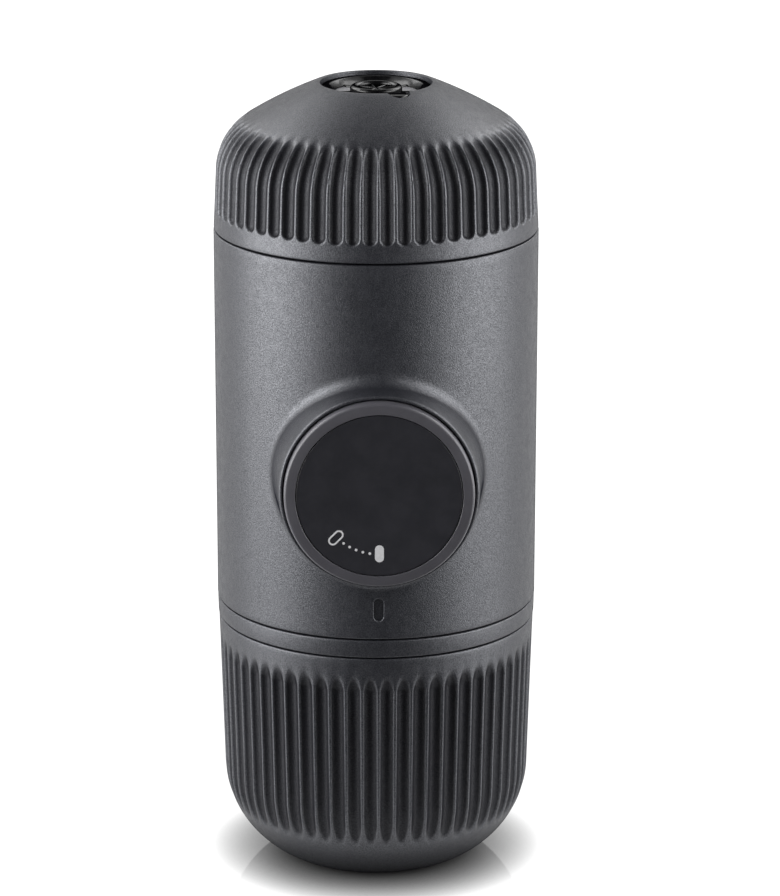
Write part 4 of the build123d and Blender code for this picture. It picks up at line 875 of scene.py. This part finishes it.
def nozzle_seat():
    """Thin light washer that shows between the spokes."""
    ring = rounded([(5.05, 153.3), (8.25, 153.3), (8.25, 153.95), (5.05, 153.95)], {2: 0.15, 3: 0.15}, 3)
    return as_object("nozzle_seat", closed_up(turned(ring, 96)))


def add(bm, other):
    """Put a second mesh into the first and free it."""
    mesh = bpy.data.meshes.new("part")
    other.to_mesh(mesh)
    other.free()
    bm.from_mesh(mesh)
    bpy.data.meshes.remove(mesh)


# ---- camera, floor and light ----
def set_camera():
    lens = bpy.data.cameras.new("camera")
    lens.lens = 177.47
    lens.sensor_width = 36
    lens.shift_x = 0.0156
    lens.clip_end = 50
    camera = bpy.data.objects.new("camera", lens)
    camera.location = (-0.0131, -0.8329, 0.3285)
    camera.rotation_euler = (radians(73.56), 0, radians(-0.9))
    bpy.context.scene.collection.objects.link(camera)
    bpy.context.scene.camera = camera


def set_light(name, place, aim, size, power):
    lamp = bpy.data.lights.new(name, "AREA")
    lamp.shape = "RECTANGLE"
    lamp.size, lamp.size_y = size
    lamp.energy = power
    thing = bpy.data.objects.new(name, lamp)
    thing.location = place
    thing.rotation_euler = (Vector(aim) - Vector(place)).to_track_quat("-Z", "Y").to_euler()
    bpy.context.scene.collection.objects.link(thing)


def seen_directly(nodes, links):
    """1 for rays that show the background: camera, glossy and transmission rays."""
    path = nodes.new("ShaderNodeLightPath")
    total = path.outputs["Is Camera Ray"]
    for name in ("Is Glossy Ray", "Is Transmission Ray"):
        node = nodes.new("ShaderNodeMath")
        node.operation = "MAXIMUM"
        links.new(total, node.inputs[0])
        links.new(path.outputs[name], node.inputs[1])
        total = node.outputs[0]
    return total


def set_world():
    world = bpy.data.worlds.new("studio")
    world.use_nodes = True
    nodes, links = world.node_tree.nodes, world.node_tree.links
    back = nodes["Background"]
    back.inputs["Color"].default_value = (1, 1, 1, 1)
    level = nodes.new("ShaderNodeMapRange")
    level.inputs["To Min"].default_value = 0.05
    level.inputs["To Max"].default_value = 1.0
    links.new(seen_directly(nodes, links), level.inputs["Value"])
    links.new(level.outputs["Result"], back.inputs["Strength"])
    bpy.context.scene.world = world


def set_floor():
    bm = bmesh.new()
    bmesh.ops.create_grid(bm, x_segments=1, y_segments=1, size=4000)
    thing = as_object("studio_floor", bm)
    thing.data.materials.append(floor_finish())


def floor_finish():
    """White sheet: its own light makes up the white that the lamps leave out, and shadows stay; near the
    bottle its own light is dimmed by ambient occlusion, a painted contact shadow.
    """
    finish = Finish("white_floor", (0.08, 0.08, 0.08, 1), 0.05, Specular_IOR_Level=0.5)
    finish.vary_roughness(finish.noise(60.0), 0.015)
    finish.shader.inputs["Emission Color"].default_value = (1, 1, 1, 1)
    # painted contact shadow: the floor's own light falls off with ambient occlusion close to the bottle
    nearby = finish.nodes.new("ShaderNodeAmbientOcclusion")
    nearby.samples = 16
    nearby.inputs["Distance"].default_value = 0.010
    painted_shadow_dim = finish.calculated("POWER", nearby.outputs["AO"], 1.9)
    level = finish.calculated("MULTIPLY", seen_directly(finish.nodes, finish.links), painted_shadow_dim)
    white = finish.calculated("MULTIPLY", level, 0.93)
    finish.links.new(white, finish.shader.inputs["Emission Strength"])
    return finish.material


def set_card():
    """Dark card bent from the floor in front to overhead; it only shows in the bottle's gloss."""
    bm = bmesh.new()
    half, front, centre_z = 150.0, 240, 120
    places = [(half, -62.0, 0.8), (half, -front, 1.0)]
    for angle in range(0, 121, 8):
        turn = radians(angle)
        places.append((half - 0.45 * angle, -front * cos(turn), centre_z + front * sin(turn)))
    verts = [bm.verts.new((-half, y, z)) for half, y, z in places]
    edges = [bm.edges.new(pair) for pair in zip(verts, verts[1:])]
    grown = bmesh.ops.extrude_edge_only(bm, edges=edges)["geom"]
    for v in new_verts(grown):
        v.co.x = -v.co.x
    thing = as_object("studio_card", bm)
    thing.data.materials.append(Finish("black_card", (0.02, 0.02, 0.02, 1), 0.9).material)
    thing.visible_camera = thing.visible_diffuse = False
    thing.visible_shadow = thing.visible_transmission = False


# ---- the scene ----
set_camera()
set_world()
set_floor()
set_card()
for side, sign, power in (("left", -1, 1.66), ("right", 1, 1.22)):
    set_light(f"{side}_box", (sign * 0.325, -0.095, 0.18), (sign * 0.05, 0, 0.15), (0.28, 0.34), power)
for side, sign in (("left", -1), ("right", 1)):
    set_light(f"{side}_back", (sign * 0.55, 0.45, 0.62), (0, 0, 0.14), (0.5, 0.5), 3.0)
bpy.context.scene.view_settings.view_transform = "Standard"

dress(head_moulding(), "head", "slate_plastic", SLATE, "outlet_head")
dress(fluted_cup(), "drinking_cup", "slate_plastic", SLATE, "cup")
dress(body_casing(), "main_body", "slate_plastic", SLATE, "body_shell")
dress(tank_bowl(), "tank", "slate_plastic", SLATE, "water_tank")
dress(knob_body(), "piston", "black_plastic", KNOB, "knob_shell")
dress(knob_disc(), "piston", "black_gloss", GLOSS, "knob_face")
for mark in marks():
    dress(mark, "piston", "silicone", WHITE)
dress(nozzle_insert(), "nozzle", "black_gloss", NOZZLE, "outlet_nozzle")
dress(nozzle_seat(), "nozzle", "silicone", SEAT)

CARRIED = {
    "head_liner": PUMP, "head_gasket": RUBBER, "nozzle_oring": RUBBER, "filter_basket": STEEL,
    "basket_seal": SILICONE, "shower_screen": STEEL, "brew_chamber": PUMP, "tank_spigot": PUMP,
    "deck_screws": STEEL, "inlet_strainer": PUMP, "vent_valve": SILICONE, "pump_cylinder": PUMP,
    "cylinder_cap": PUMP, "valve_washers": RUBBER, "outlet_ball": STEEL, "outlet_spring": WIRE,
    "inlet_ball": STEEL, "inlet_spring": WIRE, "lock_collar": PUMP, "piston_spring": WIRE,
    "knob_screw": STEEL, "piston_rod": STEEL, "piston_head": PUMP, "piston_seals": RUBBER,
    "tank_gasket": SILICONE, "cup_ring": SILICONE,
}
for node, material in CARRIED.items():
    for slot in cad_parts[node].material_slots:
        slot.material = material
